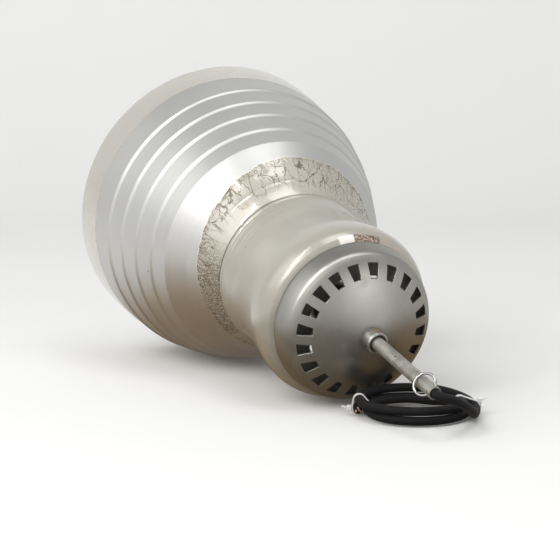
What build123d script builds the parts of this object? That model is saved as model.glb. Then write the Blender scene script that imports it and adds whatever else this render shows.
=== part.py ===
from build123d import *
import math
import os

# Pendant lamp: stepped mirrored-glass reflector, vented metal cap, tubular stem,
# hanging ring and a coiled flex.  Millimetres.
# Frame: origin at the cross hole near the top of the stem, where the hanging ring
# passes through.  +Z runs up along the stem; the reflector opens downwards.
# The ring's pivot axis is X.  Heights are measured from the cap's lower edge.

os.makedirs("parts", exist_ok=True)

LIP_Z = -182.0                 # z of the cap's lower edge, height 0

# Sizes shared between sections
STEM_R, STEM_BORE = 6.6, 4.9
STEM_TOP, STEM_BOTTOM = 189.0, -22.0
PLATE_CLEARANCE = 0.04         # radial gaps round the stem
NUT_CLEARANCE = 0.03
FLEX_R = 4.5
FLEX_INSERT = 4.2              # length of flex inside the stem
CORE_R = 1.0
ON_BASE = (Align.CENTER, Align.CENTER, Align.MIN)


# ---------------------------------------------------------------- helpers
def z_at(height):
    return LIP_Z + height


def polar(radius, azimuth, height):
    """Point (x, y, height) at an azimuth in degrees from +X."""
    angle = math.radians(azimuth)
    return radius * math.cos(angle), radius * math.sin(angle), height


def turned(outline):
    """Solid of revolution about Z from a closed (radius, height) outline."""
    points = [(radius, 0, z_at(height)) for radius, height in outline]
    return revolve(make_face(Polyline(*points, close=True)), axis=Axis.Z)


def disc_ring(inner_r, outer_r, bottom, top):
    return turned([(inner_r, bottom), (outer_r, bottom), (outer_r, top), (inner_r, top)])


def cylinder(radius, bottom, top):
    return Pos(0, 0, z_at(bottom)) * Cylinder(radius, top - bottom, align=ON_BASE)


def bar(start, end, radius):
    """Round bar between two vectors."""
    run = end - start
    return extrude(Plane(origin=start, z_dir=run.normalized()) * Circle(radius),
                   amount=run.length)


def rod(start, end, radius):
    """Round bar between two (x, y, height) points."""
    return bar(Vector(start[0], start[1], z_at(start[2])),
               Vector(end[0], end[1], z_at(end[2])), radius)


def group(shapes):
    return Compound(children=list(shapes))


def save(shape, name):
    shape.label = name
    export_step(shape, os.path.join("parts", name + ".step"))


# ---------------------------------------------------------------- reflector glass
MOUTH_R, MOUTH_H = 162.5, -375.8
GLASS_T = 4.2                  # wall at the mouth
LIP_R = 66.0                   # opening in the top of the glass
LIP_TOP, LIP_UNDER = 10.0, 6.0
LIP_EDGE = 0.6                 # bevel round the opening
STEP_RISE, STEP_IN = 2.8, 2.3  # one moulded step

# All outlines are (radius, height).  Outside, from the mouth upwards:
BELOW_STEPS = [(MOUTH_R, MOUTH_H), (162.1, -366.0), (161.3, -352.0), (159.7, -336.0),
               (158.4, -318.0)]
STEP_CENTRES = [(155.8, -298.7), (149.3, -272.4), (141.8, -248.3),
                (132.7, -224.4), (124.0, -201.7), (109.8, -183.9)]
COLLAR = [(105.6, -177.6), (101.4, -170.8), (97.4, -163.6), (93.8, -156.6),
          (90.0, -149.8), (87.3, -145.4)]
NECK = [
    (85.3, -142.6), (84.7, -141.9), (85.6, -140.9), (86.5, -139.0), (86.4, -137.0),
    (85.0, -135.4), (84.7, -134.4), (85.2, -133.0), (84.9, -131.4), (84.2, -130.0),
    (84.5, -128.0), (84.1, -125.6), (83.6, -122.0), (83.1, -116.0), (82.9, -108.0),
    (83.1, -99.0), (83.8, -90.0), (85.3, -76.0), (87.1, -62.0), (89.1, -48.0),
    (90.7, -36.0), (91.5, -27.0), (91.3, -20.0), (90.1, -14.5), (88.0, -10.0),
    (85.4, -6.6), (82.4, -4.2), (79.8, -2.7), (78.2, -1.2), (77.5, 1.0),
    (77.5, 7.0), (76.6, 9.1), (74.6, LIP_TOP)]
# Inside, from the mouth upwards:
GLASS_INSIDE = [
    (MOUTH_R - GLASS_T, MOUTH_H), (157.7, -366.0), (156.9, -352.0), (155.3, -336.0),
    (153.4, -318.0), (151.2, -300.0), (144.8, -274.0), (137.2, -250.0), (128.2, -226.4),
    (119.4, -204.2), (106.0, -187.8), (101.0, -180.0), (96.6, -172.6), (92.6, -165.4),
    (89.0, -158.4), (85.4, -151.0), (82.0, -145.0), (80.4, -139.0), (80.1, -130.0),
    (79.2, -122.0), (78.7, -108.0), (78.9, -98.0), (79.8, -88.0), (81.2, -75.0),
    (83.0, -61.0), (85.0, -47.0), (86.5, -35.0), (87.2, -27.0), (87.0, -21.0),
    (86.0, -16.5), (84.2, -12.6), (81.4, -9.4), (78.0, -6.9), (75.0, -4.4),
    (73.6, -1.6), (73.3, 1.5), (73.0, 4.2), (72.0, LIP_UNDER)]


def reflector_glass():
    steps = []
    for radius, height in STEP_CENTRES:
        steps.append((radius + STEP_IN / 2, height - STEP_RISE / 2))
        steps.append((radius - STEP_IN / 2, height + STEP_RISE / 2))
    opening = [(LIP_R + LIP_EDGE, LIP_TOP), (LIP_R, LIP_TOP - LIP_EDGE),
               (LIP_R, LIP_UNDER + LIP_EDGE), (LIP_R + LIP_EDGE, LIP_UNDER)]
    return turned(BELOW_STEPS + steps + COLLAR + NECK + opening + GLASS_INSIDE[::-1])


save(reflector_glass(), "reflector_glass")

# ---------------------------------------------------------------- vented cap
HUB_R, HUB_BORE = 10.9, 6.66
HUB_SPIGOT_R = 8.5             # part of the hub inside the cap's hole
CAP_TOP, HUB_TOP = 52.4, 66.0
CAP_HOLE_R = HUB_SPIGOT_R + 0.02

# Outside from the lower edge up to the hub, then inside back down
CAP_OUTLINE = [
    (82.2, 0.0), (82.3, 1.0), (82.1, 2.2), (81.2, 7.5), (80.1, 12.8), (79.2, 16.6),
    (78.5, 18.6), (77.4, 20.7), (75.6, 22.9), (73.2, 25.1), (70.0, 27.5), (66.4, 29.9),
    (62.0, 32.5), (56.0, 35.7), (50.0, 38.6), (43.0, 41.8), (36.0, 44.7), (29.0, 47.3),
    (22.0, 49.6), (16.0, 51.3), (11.5, CAP_TOP), (CAP_HOLE_R, CAP_TOP),
    (CAP_HOLE_R, 49.9), (15.4, 48.8), (21.3, 47.2), (28.2, 44.9), (35.1, 42.3),
    (42.0, 39.5), (48.9, 36.4), (54.8, 33.5), (60.7, 30.3), (65.0, 27.8), (68.6, 25.4),
    (71.6, 23.1), (73.8, 21.1), (75.3, 19.3), (76.2, 17.4), (77.0, 14.6), (78.4, 8.0),
    (79.4, 2.4), (79.8, 0.0)]

SLOT_COUNT = 20
SLOT_AZIMUTH = 252.0           # centre of the first slot, degrees
SLOT_INNER_R, SLOT_OUTER_R = 56.3, 70.2
SLOT_INNER_W, SLOT_OUTER_W = 7.4, 12.2
SLOT_CORNER_R = 0.8
SLOT_CUT_BOTTOM, SLOT_CUT_DEPTH = 15, 35

SET_SCREW_AZIMUTH, SET_SCREW_H, SET_SCREW_R = 217.0, 58.8, 2.7


def vent_cap():
    cap = turned(CAP_OUTLINE)
    corners = [(SLOT_INNER_R, -SLOT_INNER_W / 2), (SLOT_OUTER_R, -SLOT_OUTER_W / 2),
               (SLOT_OUTER_R, SLOT_OUTER_W / 2), (SLOT_INNER_R, SLOT_INNER_W / 2)]
    points = [(x, y, z_at(SLOT_CUT_BOTTOM)) for x, y in corners]
    slot = extrude(make_face(Polyline(*points, close=True)),
                   amount=SLOT_CUT_DEPTH, dir=(0, 0, 1))
    slot = fillet(slot.edges().filter_by(Axis.Z), radius=SLOT_CORNER_R)
    for i in range(SLOT_COUNT):
        cap -= Rot(0, 0, SLOT_AZIMUTH + i * 360.0 / SLOT_COUNT) * slot
    return cap


def set_screw_bar(start_r, end_r, radius):
    """Bar along the set screw's axis between two distances from the stem axis."""
    return rod(polar(start_r, SET_SCREW_AZIMUTH, SET_SCREW_H),
               polar(end_r, SET_SCREW_AZIMUTH, SET_SCREW_H), radius)


def cap_hub():
    hub = turned([(HUB_BORE, 49.2), (HUB_SPIGOT_R, 49.2), (HUB_SPIGOT_R, CAP_TOP),
                  (HUB_R, CAP_TOP), (HUB_R, HUB_TOP - 1.2), (HUB_R - 1.1, HUB_TOP),
                  (8.6, HUB_TOP), (8.3, HUB_TOP - 0.4), (8.0, 63.2), (HUB_BORE, 62.0)])
    return hub - set_screw_bar(5.0, 14, SET_SCREW_R)


def hub_set_screw():
    """Slotted grub screw through the hub wall; its tip stops just off the stem."""
    screw = set_screw_bar(STEM_R + 0.3, 11.7, SET_SCREW_R - 0.02)
    driver_slot = Pos(11.4, 0, 0) * Box(2.4, 8, 1.0)
    return screw - Pos(0, 0, z_at(SET_SCREW_H)) * Rot(0, 0, SET_SCREW_AZIMUTH) * driver_slot


save(vent_cap(), "vent_cap")
save(cap_hub(), "cap_hub")
save(hub_set_screw(), "hub_set_screw")

# ---------------------------------------------------------------- stem and ring
CROSS_HOLE_R = 3.0
RING_R, RING_WIRE_R = 11.0, 1.35
RING_OFFSET = 10.05            # pivot to ring centre
RING_FOLD = 157.6              # degrees folded from upright, over towards -Y


def stem_tube():
    stem = turned([(STEM_BORE, STEM_BOTTOM), (STEM_R - 0.4, STEM_BOTTOM),
                   (STEM_R, STEM_BOTTOM + 0.6), (STEM_R, STEM_TOP - 0.5),
                   (STEM_R - 0.4, STEM_TOP), (STEM_BORE + 0.3, STEM_TOP),
                   (STEM_BORE, STEM_TOP - 0.4)])
    return stem - Rot(0, 90, 0) * Cylinder(CROSS_HOLE_R, 30)


def hanging_ring():
    ring = Pos(0, RING_OFFSET, 0) * Torus(RING_R, RING_WIRE_R)
    return Rot(90.0 + RING_FOLD, 0, 0) * ring


save(stem_tube(), "stem_tube")
save(hanging_ring(), "hanging_ring")

# ---------------------------------------------------------------- flex
# The coil lies on a plane that also carries the reflector's rim and the glass bulge
# when the lamp is laid down on its side.  The normal points towards the lamp.
NORMAL_Z = -0.1997
NORMAL_X_SHARE, NORMAL_Y_SHARE = -0.746, -0.632    # direction of its horizontal part
HORIZONTAL = math.sqrt(1 - NORMAL_Z ** 2) / math.hypot(NORMAL_X_SHARE, NORMAL_Y_SHARE)
NORMAL = Vector(NORMAL_X_SHARE * HORIZONTAL, NORMAL_Y_SHARE * HORIZONTAL, NORMAL_Z)
PLANE_OFFSET = -84.2           # along the normal, from the centre of the cap's lower edge
PLANE_U = Vector(-0.6545, 0.6517, 0.3833)
PLANE_V = Vector(-0.1126, 0.4172, -0.9018)
COIL_U, COIL_V = 59.8, -57.0   # coil centre on the plane
COIL_LIFT = 0.55               # the coil rests on its ties

BEND_R = 8.5                   # flex bend where it leaves the stem
BEND_AZIMUTH = 25.0            # bend direction, degrees from +Y towards -X
BEND_STEP, BEND_POINTS = 15, 7
RUN_START_PULL, RUN_END_PULL = 30.0, 26.0          # handle lengths of the free run
RUN_STEPS, COIL_STEPS = 12, 94

LOW, HIGH = 5.8, 15.1          # lower and upper layer heights
# Flex centre line from the stem to the free end: (angle, radius, height over the plane)
COIL = [
    (-14, 61.9, 6.2), (0, 61.6, 6.9), (30, 59.8, 10.6), (60, 56.5, 14.2),
    (90, 54.4, HIGH), (120, 54.0, HIGH), (150, 53.2, 14.9), (180, 52.2, 14.9),
    (210, 53.0, 14.9), (240, 54.0, HIGH), (270, 54.0, HIGH), (300, 53.8, HIGH),
    (320, 53.0, HIGH), (340, 50.6, 14.8), (360, 47.0, 13.2), (380, 43.4, 10.4),
    (400, 41.6, 7.6), (420, 41.6, LOW), (450, 44.3, LOW), (480, 44.9, LOW),
    (510, 44.8, LOW), (540, 44.4, LOW), (560, 45.4, LOW), (580, 48.6, LOW),
    (605, 52.6, LOW), (630, 54.0, LOW), (660, 54.0, LOW), (690, 53.4, LOW),
    (720, 52.4, LOW), (750, 51.5, LOW), (780, 51.9, LOW), (810, 53.8, LOW),
    (840, 54.2, LOW), (870, 54.0, LOW), (890, 53.8, LOW), (905, 53.8, LOW)]
COIL_START, COIL_END = COIL[0][0], COIL[-1][0]


def coil_point(angle, radius, height):
    """Point in space from polar coordinates about the coil centre."""
    turn = math.radians(angle)
    return (PLANE_U * (COIL_U + radius * math.cos(turn))
            + PLANE_V * (COIL_V + radius * math.sin(turn))
            + NORMAL * (PLANE_OFFSET + height + COIL_LIFT)
            + Vector(0, 0, LIP_Z))


def coil_segment(angle):
    """Index of the COIL row that starts the segment holding an angle, and the fraction."""
    i = max(k for k in range(len(COIL) - 1) if COIL[k][0] <= angle or k == 0)
    return i, (angle - COIL[i][0]) / (COIL[i + 1][0] - COIL[i][0])


def slope(first, last, column):
    return (COIL[last][column] - COIL[first][column]) / (COIL[last][0] - COIL[first][0])


def coil_at(angle):
    """Point on the flex centre line, by cubic interpolation between the rows."""
    i, f = coil_segment(angle)
    span = COIL[i + 1][0] - COIL[i][0]
    values = []
    for column in (1, 2):
        slope0 = slope(max(i - 1, 0), i + 1, column)
        slope1 = slope(i, min(i + 2, len(COIL) - 1), column)
        values.append((2 * f ** 3 - 3 * f ** 2 + 1) * COIL[i][column]
                      + (f ** 3 - 2 * f ** 2 + f) * span * slope0
                      + (-2 * f ** 3 + 3 * f ** 2) * COIL[i + 1][column]
                      + (f ** 3 - f ** 2) * span * slope1)
    return coil_point(angle, *values)


def flex_points():
    """Inside the stem, round the bend, down an easy curve and round the coil."""
    points = [Vector(0, 0, z_at(STEM_TOP - FLEX_INSERT)),
              Vector(0, 0, z_at(STEM_TOP - FLEX_INSERT / 2))]
    top = Vector(0, 0, z_at(STEM_TOP))
    azimuth = math.radians(BEND_AZIMUTH)
    outward = Vector(-math.sin(azimuth), math.cos(azimuth), 0)
    for k in range(BEND_POINTS):
        turn = math.radians(BEND_STEP * k)
        points.append(top + outward * (BEND_R * (1 - math.cos(turn)))
                      + Vector(0, 0, BEND_R * math.sin(turn)))

    # Bezier curve from the end of the bend to the start of the coil
    start = top + outward * BEND_R + Vector(0, 0, BEND_R)
    end = coil_at(COIL_START)
    end_direction = (coil_at(COIL_START + 2) - end).normalized()
    start_handle = start + outward * RUN_START_PULL
    end_handle = end - end_direction * RUN_END_PULL
    for k in range(1, RUN_STEPS):
        f = k / RUN_STEPS
        points.append(start * (1 - f) ** 3 + start_handle * (3 * f * (1 - f) ** 2)
                      + end_handle * (3 * f * f * (1 - f)) + end * f ** 3)

    for k in range(COIL_STEPS + 1):
        points.append(coil_at(COIL_START + (COIL_END - COIL_START) * k / COIL_STEPS))
    return points


def flex_tail_cores(flex_end, along):
    """Stripped ends of the three cores at the free end of the flex."""
    origin = flex_end + along * 0.8
    side = along.cross(NORMAL).normalized()
    tails = []
    # offset to the side, offset along the normal, sideways spread
    for across, up, spread in ((-1.7, -0.8, -0.1), (1.9, -1.1, 0.25), (0.0, 2.0, 0.05)):
        start = origin + side * across + NORMAL * up
        strip = start + along * 5.0 + side * (spread * 3)
        tip = strip + along * 3.5 + side * (spread * 6) - NORMAL * 0.6
        tails.append(bar(start, strip, CORE_R) + bar(strip, tip, 0.55))
    return group(tails)


flex_line_points = flex_points()
flex_line = Spline(*[tuple(point) for point in flex_line_points])
flex_section = Plane(origin=flex_line_points[0], z_dir=flex_line.tangent_at(0)) * Circle(FLEX_R)
save(sweep(flex_section, path=flex_line), "supply_cable")
save(flex_tail_cores(flex_line_points[-1], flex_line.tangent_at(1).normalized()),
     "flex_tail_cores")

# ---------------------------------------------------------------- ties round the coil
TIE_T, TIE_W, TIE_GAP = 1.0, 3.6, 0.85
TIE_HEAD = (4.2, 5.4, 5.6)
TIE_HEAD_CHAMFER = 0.5
TIE_TAIL = (6.4, 1.2, TIE_W)
TIE_TAIL_OFFSET = 4.6          # head centre to tail centre


def half_hull(points):
    chain = []
    for p in points:
        while len(chain) >= 2:
            a, b = chain[-2:]
            if (b[0] - a[0]) * (p[1] - a[1]) - (b[1] - a[1]) * (p[0] - a[0]) > 0:
                break
            chain.pop()
        chain.append(p)
    return chain[:-1]


def outline_around(centres, radius):
    """Convex outline round circles of one radius, as 48-sided polygons."""
    points = set()
    for x, y in centres:
        for k in range(48):
            turn = 2 * math.pi * k / 48
            points.add((round(x + radius * math.cos(turn), 5),
                        round(y + radius * math.sin(turn), 5)))
    ordered = sorted(points)
    return half_hull(ordered) + half_hull(ordered[::-1])


def strand_centre(angle):
    """(radius, height) of the flex, by straight lines between the COIL rows."""
    i, f = coil_segment(angle)
    return tuple(COIL[i][c] + f * (COIL[i + 1][c] - COIL[i][c]) for c in (1, 2))


def cable_tie(angle, head_at, tail_direction):
    """Band round the three strands at a coil angle, with a head and a cut tail.

    Local x is the coil radius and local y the height over the plane.
    """
    strands = [strand_centre(angle + 360 * k) for k in range(3)]
    origin = coil_point(angle, 0, 0)
    radial = (coil_point(angle, 1, 0) - origin).normalized()
    section = Plane(origin=origin, x_dir=radial, z_dir=radial.cross(NORMAL).normalized())

    def band_face(offset):
        outline = outline_around(strands, FLEX_R + offset)
        points = [section.from_local_coords((x, y, 0)) for x, y in outline]
        return make_face(Polyline(*points, close=True))

    inside = band_face(TIE_GAP)
    band = (extrude(band_face(TIE_GAP + TIE_T), amount=TIE_W / 2, both=True)
            - extrude(inside, amount=TIE_W, both=True))

    x, y = head_at
    head_plane = Plane(origin=section.from_local_coords((x, y, 0)),
                       x_dir=section.x_dir, z_dir=section.z_dir)
    head = head_plane * Box(*TIE_HEAD)
    head = chamfer(head.edges(), TIE_HEAD_CHAMFER)

    tail_x, tail_y = tail_direction
    tail_centre = (x + tail_x * TIE_TAIL_OFFSET, y + tail_y * TIE_TAIL_OFFSET, 0)
    tail_plane = Plane(origin=section.from_local_coords(tail_centre),
                       x_dir=section.x_dir * tail_x + section.y_dir * tail_y,
                       z_dir=section.z_dir)
    body = band + head + tail_plane * Box(*TIE_TAIL)
    return (body - extrude(inside, amount=6, both=True)).solid()


save(group([cable_tie(182, head_at=(62.0, 6.6), tail_direction=(0.96, 0.28)),
            cable_tie(4, head_at=(66.2, 13.4), tail_direction=(0.92, 0.40))]), "cable_ties")

# ---------------------------------------------------------------- glass mounting
# The stack clamped by nuts, from the top: carrier disc, gasket, glass lip, pads and
# three-armed spider.
CARRIER_BOTTOM, CARRIER_TOP = LIP_TOP + 2.0, LIP_TOP + 4.0
PAD_T, SPIDER_T = 1.6, 2.4
SPIDER_TOP = LIP_UNDER - PAD_T
SPIDER_BOTTOM = SPIDER_TOP - SPIDER_T
ARM_AZIMUTHS = (30, 150, 270)
WASHER_T, WASHER_R = 0.9, 12.0
CLAMP_NUT_T, CLAMP_NUT_FLATS = 5.5, 20.0
HOLDER_NUT_BOTTOM, HOLDER_NUT_TOP, HOLDER_NUT_FLATS = -13.4, -10.0, 18.0


def carrier_plate():
    plate = disc_ring(STEM_R + PLATE_CLEARANCE, 75.0, CARRIER_BOTTOM, CARRIER_TOP)
    for i in range(8):
        hole = Pos(42, 0, 0) * Cylinder(11.0, 5, align=ON_BASE)
        plate -= Pos(0, 0, z_at(11)) * Rot(0, 0, 22.5 + 45 * i) * hole
    return plate


def clamp_spider():
    spider = cylinder(20.0, SPIDER_BOTTOM, SPIDER_TOP)
    for azimuth in ARM_AZIMUTHS:
        arm = Pos(42, 0, 0) * Box(60, 15, SPIDER_T, align=ON_BASE)
        spider += Pos(0, 0, z_at(SPIDER_BOTTOM)) * Rot(0, 0, azimuth) * arm
    return spider - cylinder(STEM_R + PLATE_CLEARANCE, 0, 6)


def spider_pads():
    pad = Pos(69.0, 0, 0) * Box(5.4, 13, PAD_T, align=ON_BASE)
    return group(Pos(0, 0, z_at(SPIDER_TOP)) * Rot(0, 0, azimuth) * pad
                 for azimuth in ARM_AZIMUTHS)


def hex_nut(flats, bottom, top):
    hexagon = RegularPolygon(radius=flats / 2, side_count=6, major_radius=False)
    blank = extrude(Plane.XY.offset(z_at(bottom)) * hexagon, amount=top - bottom)
    return blank - cylinder(STEM_R + NUT_CLEARANCE, bottom - 1, top + 1)


def washer(bottom):
    return disc_ring(STEM_R + 0.1, WASHER_R, bottom, bottom + WASHER_T)


upper_nut_bottom = CARRIER_TOP + WASHER_T
lower_nut_top = SPIDER_BOTTOM - WASHER_T
save(disc_ring(66.6, 73.6, LIP_TOP, CARRIER_BOTTOM), "glass_gasket")
save(carrier_plate(), "carrier_plate")
save(clamp_spider(), "clamp_spider")
save(spider_pads(), "spider_pads")
save(group([hex_nut(CLAMP_NUT_FLATS, upper_nut_bottom, upper_nut_bottom + CLAMP_NUT_T),
            hex_nut(CLAMP_NUT_FLATS, lower_nut_top - CLAMP_NUT_T, lower_nut_top),
            hex_nut(HOLDER_NUT_FLATS, HOLDER_NUT_BOTTOM, HOLDER_NUT_TOP)]), "stem_locknuts")
save(group([washer(CARRIER_TOP), washer(lower_nut_top)]), "stem_washers")

# ---------------------------------------------------------------- lampholder
HOLDER_CAP = [
    (STEM_R + NUT_CLEARANCE, HOLDER_NUT_BOTTOM), (9.6, HOLDER_NUT_BOTTOM), (9.6, -25.0),
    (12.0, -28.0), (17.0, -31.0), (21.0, -34.2), (23.4, -38.0), (24.0, -41.5),
    (24.0, -46.0), (22.8, -46.0), (22.8, -41.6), (22.2, -38.6), (20.2, -35.2),
    (16.4, -32.2), (11.2, -29.2), (8.6, -26.6), (8.0, -24.0), (5.4, -24.0),
    (5.4, STEM_BOTTOM - 0.05), (STEM_R + NUT_CLEARANCE, STEM_BOTTOM - 0.05)]
HOLDER_BODY = [
    (4.2, -45.0), (22.4, -45.0), (22.4, -46.0), (24.6, -46.0), (24.6, -52.0),
    (23.8, -54.0), (22.6, -66.0), (21.6, -80.0), (20.6, -81.2), (16.4, -81.2),
    (15.4, -80.2), (14.36, -79.2), (14.36, -56.0), (4.2, -56.0)]
HOLDER_SHELL = [(5.0, -56.05), (14.3, -56.05), (14.3, -79.0), (13.5, -79.0),
                (13.5, -56.8), (5.0, -56.8)]
HOLDER_FLOOR = -45.0           # top face of the body
TERMINAL_X = 12.5
EARTH_H = -41.6                # axis of the earth screw, along Y


def holder_contact():
    contact = cylinder(3.4, -58.4, -44.2) - cylinder(1.3, -60, -44)
    return contact + Pos(0, 0, z_at(HOLDER_FLOOR)) * Box(7.6, 4.0, 0.8, align=ON_BASE)


def terminal(x):
    block = Pos(x, 0, z_at(HOLDER_FLOOR)) * Box(6.0, 7.0, 5.6, align=ON_BASE)
    return block - Pos(x, 0, z_at(-42.4)) * Cylinder(1.5, 8)


def terminal_screw(x):
    screw = Pos(x, 0, z_at(-42.2)) * Cylinder(1.46, 2.8, align=ON_BASE)
    screw += Pos(x, 0, z_at(-39.4)) * Cylinder(2.5, 1.6, align=ON_BASE)
    return screw - Pos(x, 0, z_at(-38.1)) * Box(6, 0.7, 1.0)


def earth_bar(start_y, end_y, radius):
    return rod((0, start_y, EARTH_H), (0, end_y, EARTH_H), radius)


def earth_screw():
    screw = earth_bar(-18.2, -21.5, 2.6) + earth_bar(-21.5, -25.4, 1.5)
    return screw - Pos(0, -18.4, z_at(EARTH_H)) * Box(8, 1.4, 0.8)


save(turned(HOLDER_CAP) - earth_bar(-20, -27, 1.55), "holder_cap")
save(turned(HOLDER_BODY), "holder_body")
save(turned(HOLDER_SHELL), "holder_shell")
save(holder_contact(), "holder_contact")
save(group(terminal(x) for x in (-TERMINAL_X, TERMINAL_X)), "holder_terminals")
save(group(terminal_screw(x) for x in (-TERMINAL_X, TERMINAL_X)), "terminal_screws")
save(earth_screw(), "earth_screw")

# ---------------------------------------------------------------- insulated cores
CORE_TOP = STEM_TOP - FLEX_INSERT - 0.2            # just below the end of the flex
CORE_STRAIGHT_END = -24.0
# (x, y, height) below the straight part
LIVE_ROUTE = [(3.4, 4.6, -31.0), (7.4, 5.4, -37.0), (11.4, 5.6, -41.2), (12.3, 4.7, -42.6)]
EARTH_ROUTE = [(0.0, -6.0, -30.0), (0.2, -10.5, -35.0), (0.2, -15.0, -39.4),
               (0.1, -17.4, -41.4)]


def core(x, y, route):
    """Core straight down the stem bore, then curved along its route in the holder."""
    top = (x, y, z_at(CORE_TOP))
    bend = (x, y, z_at(CORE_STRAIGHT_END))
    points = [bend] + [(px, py, z_at(height)) for px, py, height in route]
    end_direction = (Vector(*points[-1]) - Vector(*points[-2])).normalized()
    straight = Line(top, bend)
    curve = Spline(*points, tangents=[(0, 0, -1), tuple(end_direction)])
    section = Plane(origin=top, z_dir=(0, 0, -1)) * Circle(CORE_R)
    return sweep(section, path=Wire([straight.edge(), curve.edge()]))


save(core(1.1, 3.6, LIVE_ROUTE), "core_live")
save(core(-1.1, 3.6, [(-x, y, height) for x, y, height in LIVE_ROUTE]), "core_neutral")
save(core(0.0, -3.6, EARTH_ROUTE), "core_earth")

# ---------------------------------------------------------------- bulb
BULB_CAP = [(5.6, -59.9), (12.2, -61.6), (13.42, -62.6), (13.42, -82.6), (13.0, -83.6),
            (12.55, -83.6), (12.9, -82.4), (12.9, -63.0), (12.0, -62.2), (5.6, -60.5)]
BULB_INSULATOR = [(0, -61.0), (5.55, -61.0), (5.55, -59.4), (4.9, -59.2), (0, -59.2)]
# Outside downwards, then inside back up
BULB_GLASS = [
    (12.4, -72.0), (12.4, -84.0), (13.2, -86.0), (15.0, -90.0), (17.2, -97.0),
    (20.0, -105.0), (24.0, -114.0), (29.0, -124.0), (33.4, -134.0), (36.4, -144.0),
    (37.5, -154.0), (36.9, -164.0), (34.3, -174.0), (29.6, -182.6), (23.0, -189.4),
    (15.0, -193.6), (7.0, -195.5), (0, -195.9),
    (0, -195.1), (6.9, -194.7), (14.7, -192.9), (22.5, -188.8), (28.9, -182.1),
    (33.5, -173.6), (36.1, -163.9), (36.7, -154.0), (35.6, -144.2), (32.7, -134.4),
    (28.3, -124.4), (23.3, -114.4), (19.3, -105.4), (16.4, -97.3), (14.2, -90.3),
    (12.4, -86.4), (11.6, -84.0), (11.6, -72.0)]
BULB_MOUNT = [
    (0, -73.0), (11.4, -73.0), (11.4, -76.0), (7.0, -79.0), (4.6, -90.0), (3.6, -104.0),
    (3.4, -118.0), (1.6, -121.0), (1.6, -134.0), (2.4, -136.5), (1.2, -138.6), (0, -138.8)]

FILAMENT_R, FILAMENT_H, FILAMENT_WIRE_R = 15.5, -146.0, 0.55
FILAMENT_START, FILAMENT_SWEEP = 125, 290.0        # degrees
FILAMENT_SEGMENTS = 14
SUPPORTS = 5


def bulb_filament():
    """Open ring of short straight bars."""
    corners = [polar(FILAMENT_R, FILAMENT_START + k * FILAMENT_SWEEP / FILAMENT_SEGMENTS,
                     FILAMENT_H) for k in range(FILAMENT_SEGMENTS + 1)]
    bars = [rod(a, b, FILAMENT_WIRE_R) for a, b in zip(corners[:-1], corners[1:])]
    filament = bars[0]
    for segment in bars[1:]:
        filament += segment
    return filament


def bulb_support_wires():
    """Thin wires spaced along the filament, and a thicker one to each of its ends."""
    wires = []
    for k in range(SUPPORTS):
        azimuth = FILAMENT_START + (k + 0.5) * FILAMENT_SWEEP / SUPPORTS
        wires.append(rod(polar(2.45, azimuth, -136.5), polar(14.7, azimuth, -145.4), 0.3))
    for azimuth in (FILAMENT_START, FILAMENT_START + FILAMENT_SWEEP):
        wires.append(rod(polar(3.6, azimuth, -116.0), polar(14.6, azimuth, -145.2), 0.4))
    return group(wires)


save(turned(BULB_CAP), "bulb_cap")
save(turned(BULB_INSULATOR), "bulb_insulator")
save(cylinder(4.3, -59.2, -58.6), "bulb_contact")
save(turned(BULB_GLASS), "bulb_glass")
save(turned(BULB_MOUNT), "bulb_mount")
save(bulb_filament(), "bulb_filament")
save(bulb_support_wires(), "bulb_support_wires")
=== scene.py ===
"""A pendant lamp with a silvered-glass reflector, lying on its side on a pale sweep.

The lamp keeps its own frame: the stem runs along Z, the reflector's mouth faces -Z and the
flex leaves at the +Z end. The floor, lights and camera are tilted round it instead.
Meshes are worked out in mm and stored in metres. Most heights are in mm from the lower edge
of the vented cap.
"""
import bpy
import bmesh
import math
from functools import cached_property
import numpy as np
from mathutils import Matrix, Vector


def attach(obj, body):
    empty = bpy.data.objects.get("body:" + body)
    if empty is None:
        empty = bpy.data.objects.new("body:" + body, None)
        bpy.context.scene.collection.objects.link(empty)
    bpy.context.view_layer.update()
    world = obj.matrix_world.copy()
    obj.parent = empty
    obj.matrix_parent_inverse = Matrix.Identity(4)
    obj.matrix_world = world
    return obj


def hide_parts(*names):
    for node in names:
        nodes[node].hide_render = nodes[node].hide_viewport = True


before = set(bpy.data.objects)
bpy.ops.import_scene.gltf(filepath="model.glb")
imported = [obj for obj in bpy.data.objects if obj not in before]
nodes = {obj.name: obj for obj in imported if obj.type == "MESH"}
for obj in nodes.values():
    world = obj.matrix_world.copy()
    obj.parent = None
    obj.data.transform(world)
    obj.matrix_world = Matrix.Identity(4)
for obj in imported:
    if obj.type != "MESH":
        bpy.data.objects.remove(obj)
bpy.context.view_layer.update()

CAP_FOOT_Z = -182.0     # mm, z of the vented cap's lower edge: height 0
UP = Vector((-0.7474, -0.6262, -0.2220)).normalized()   # the floor's normal in the lamp's frame


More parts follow.
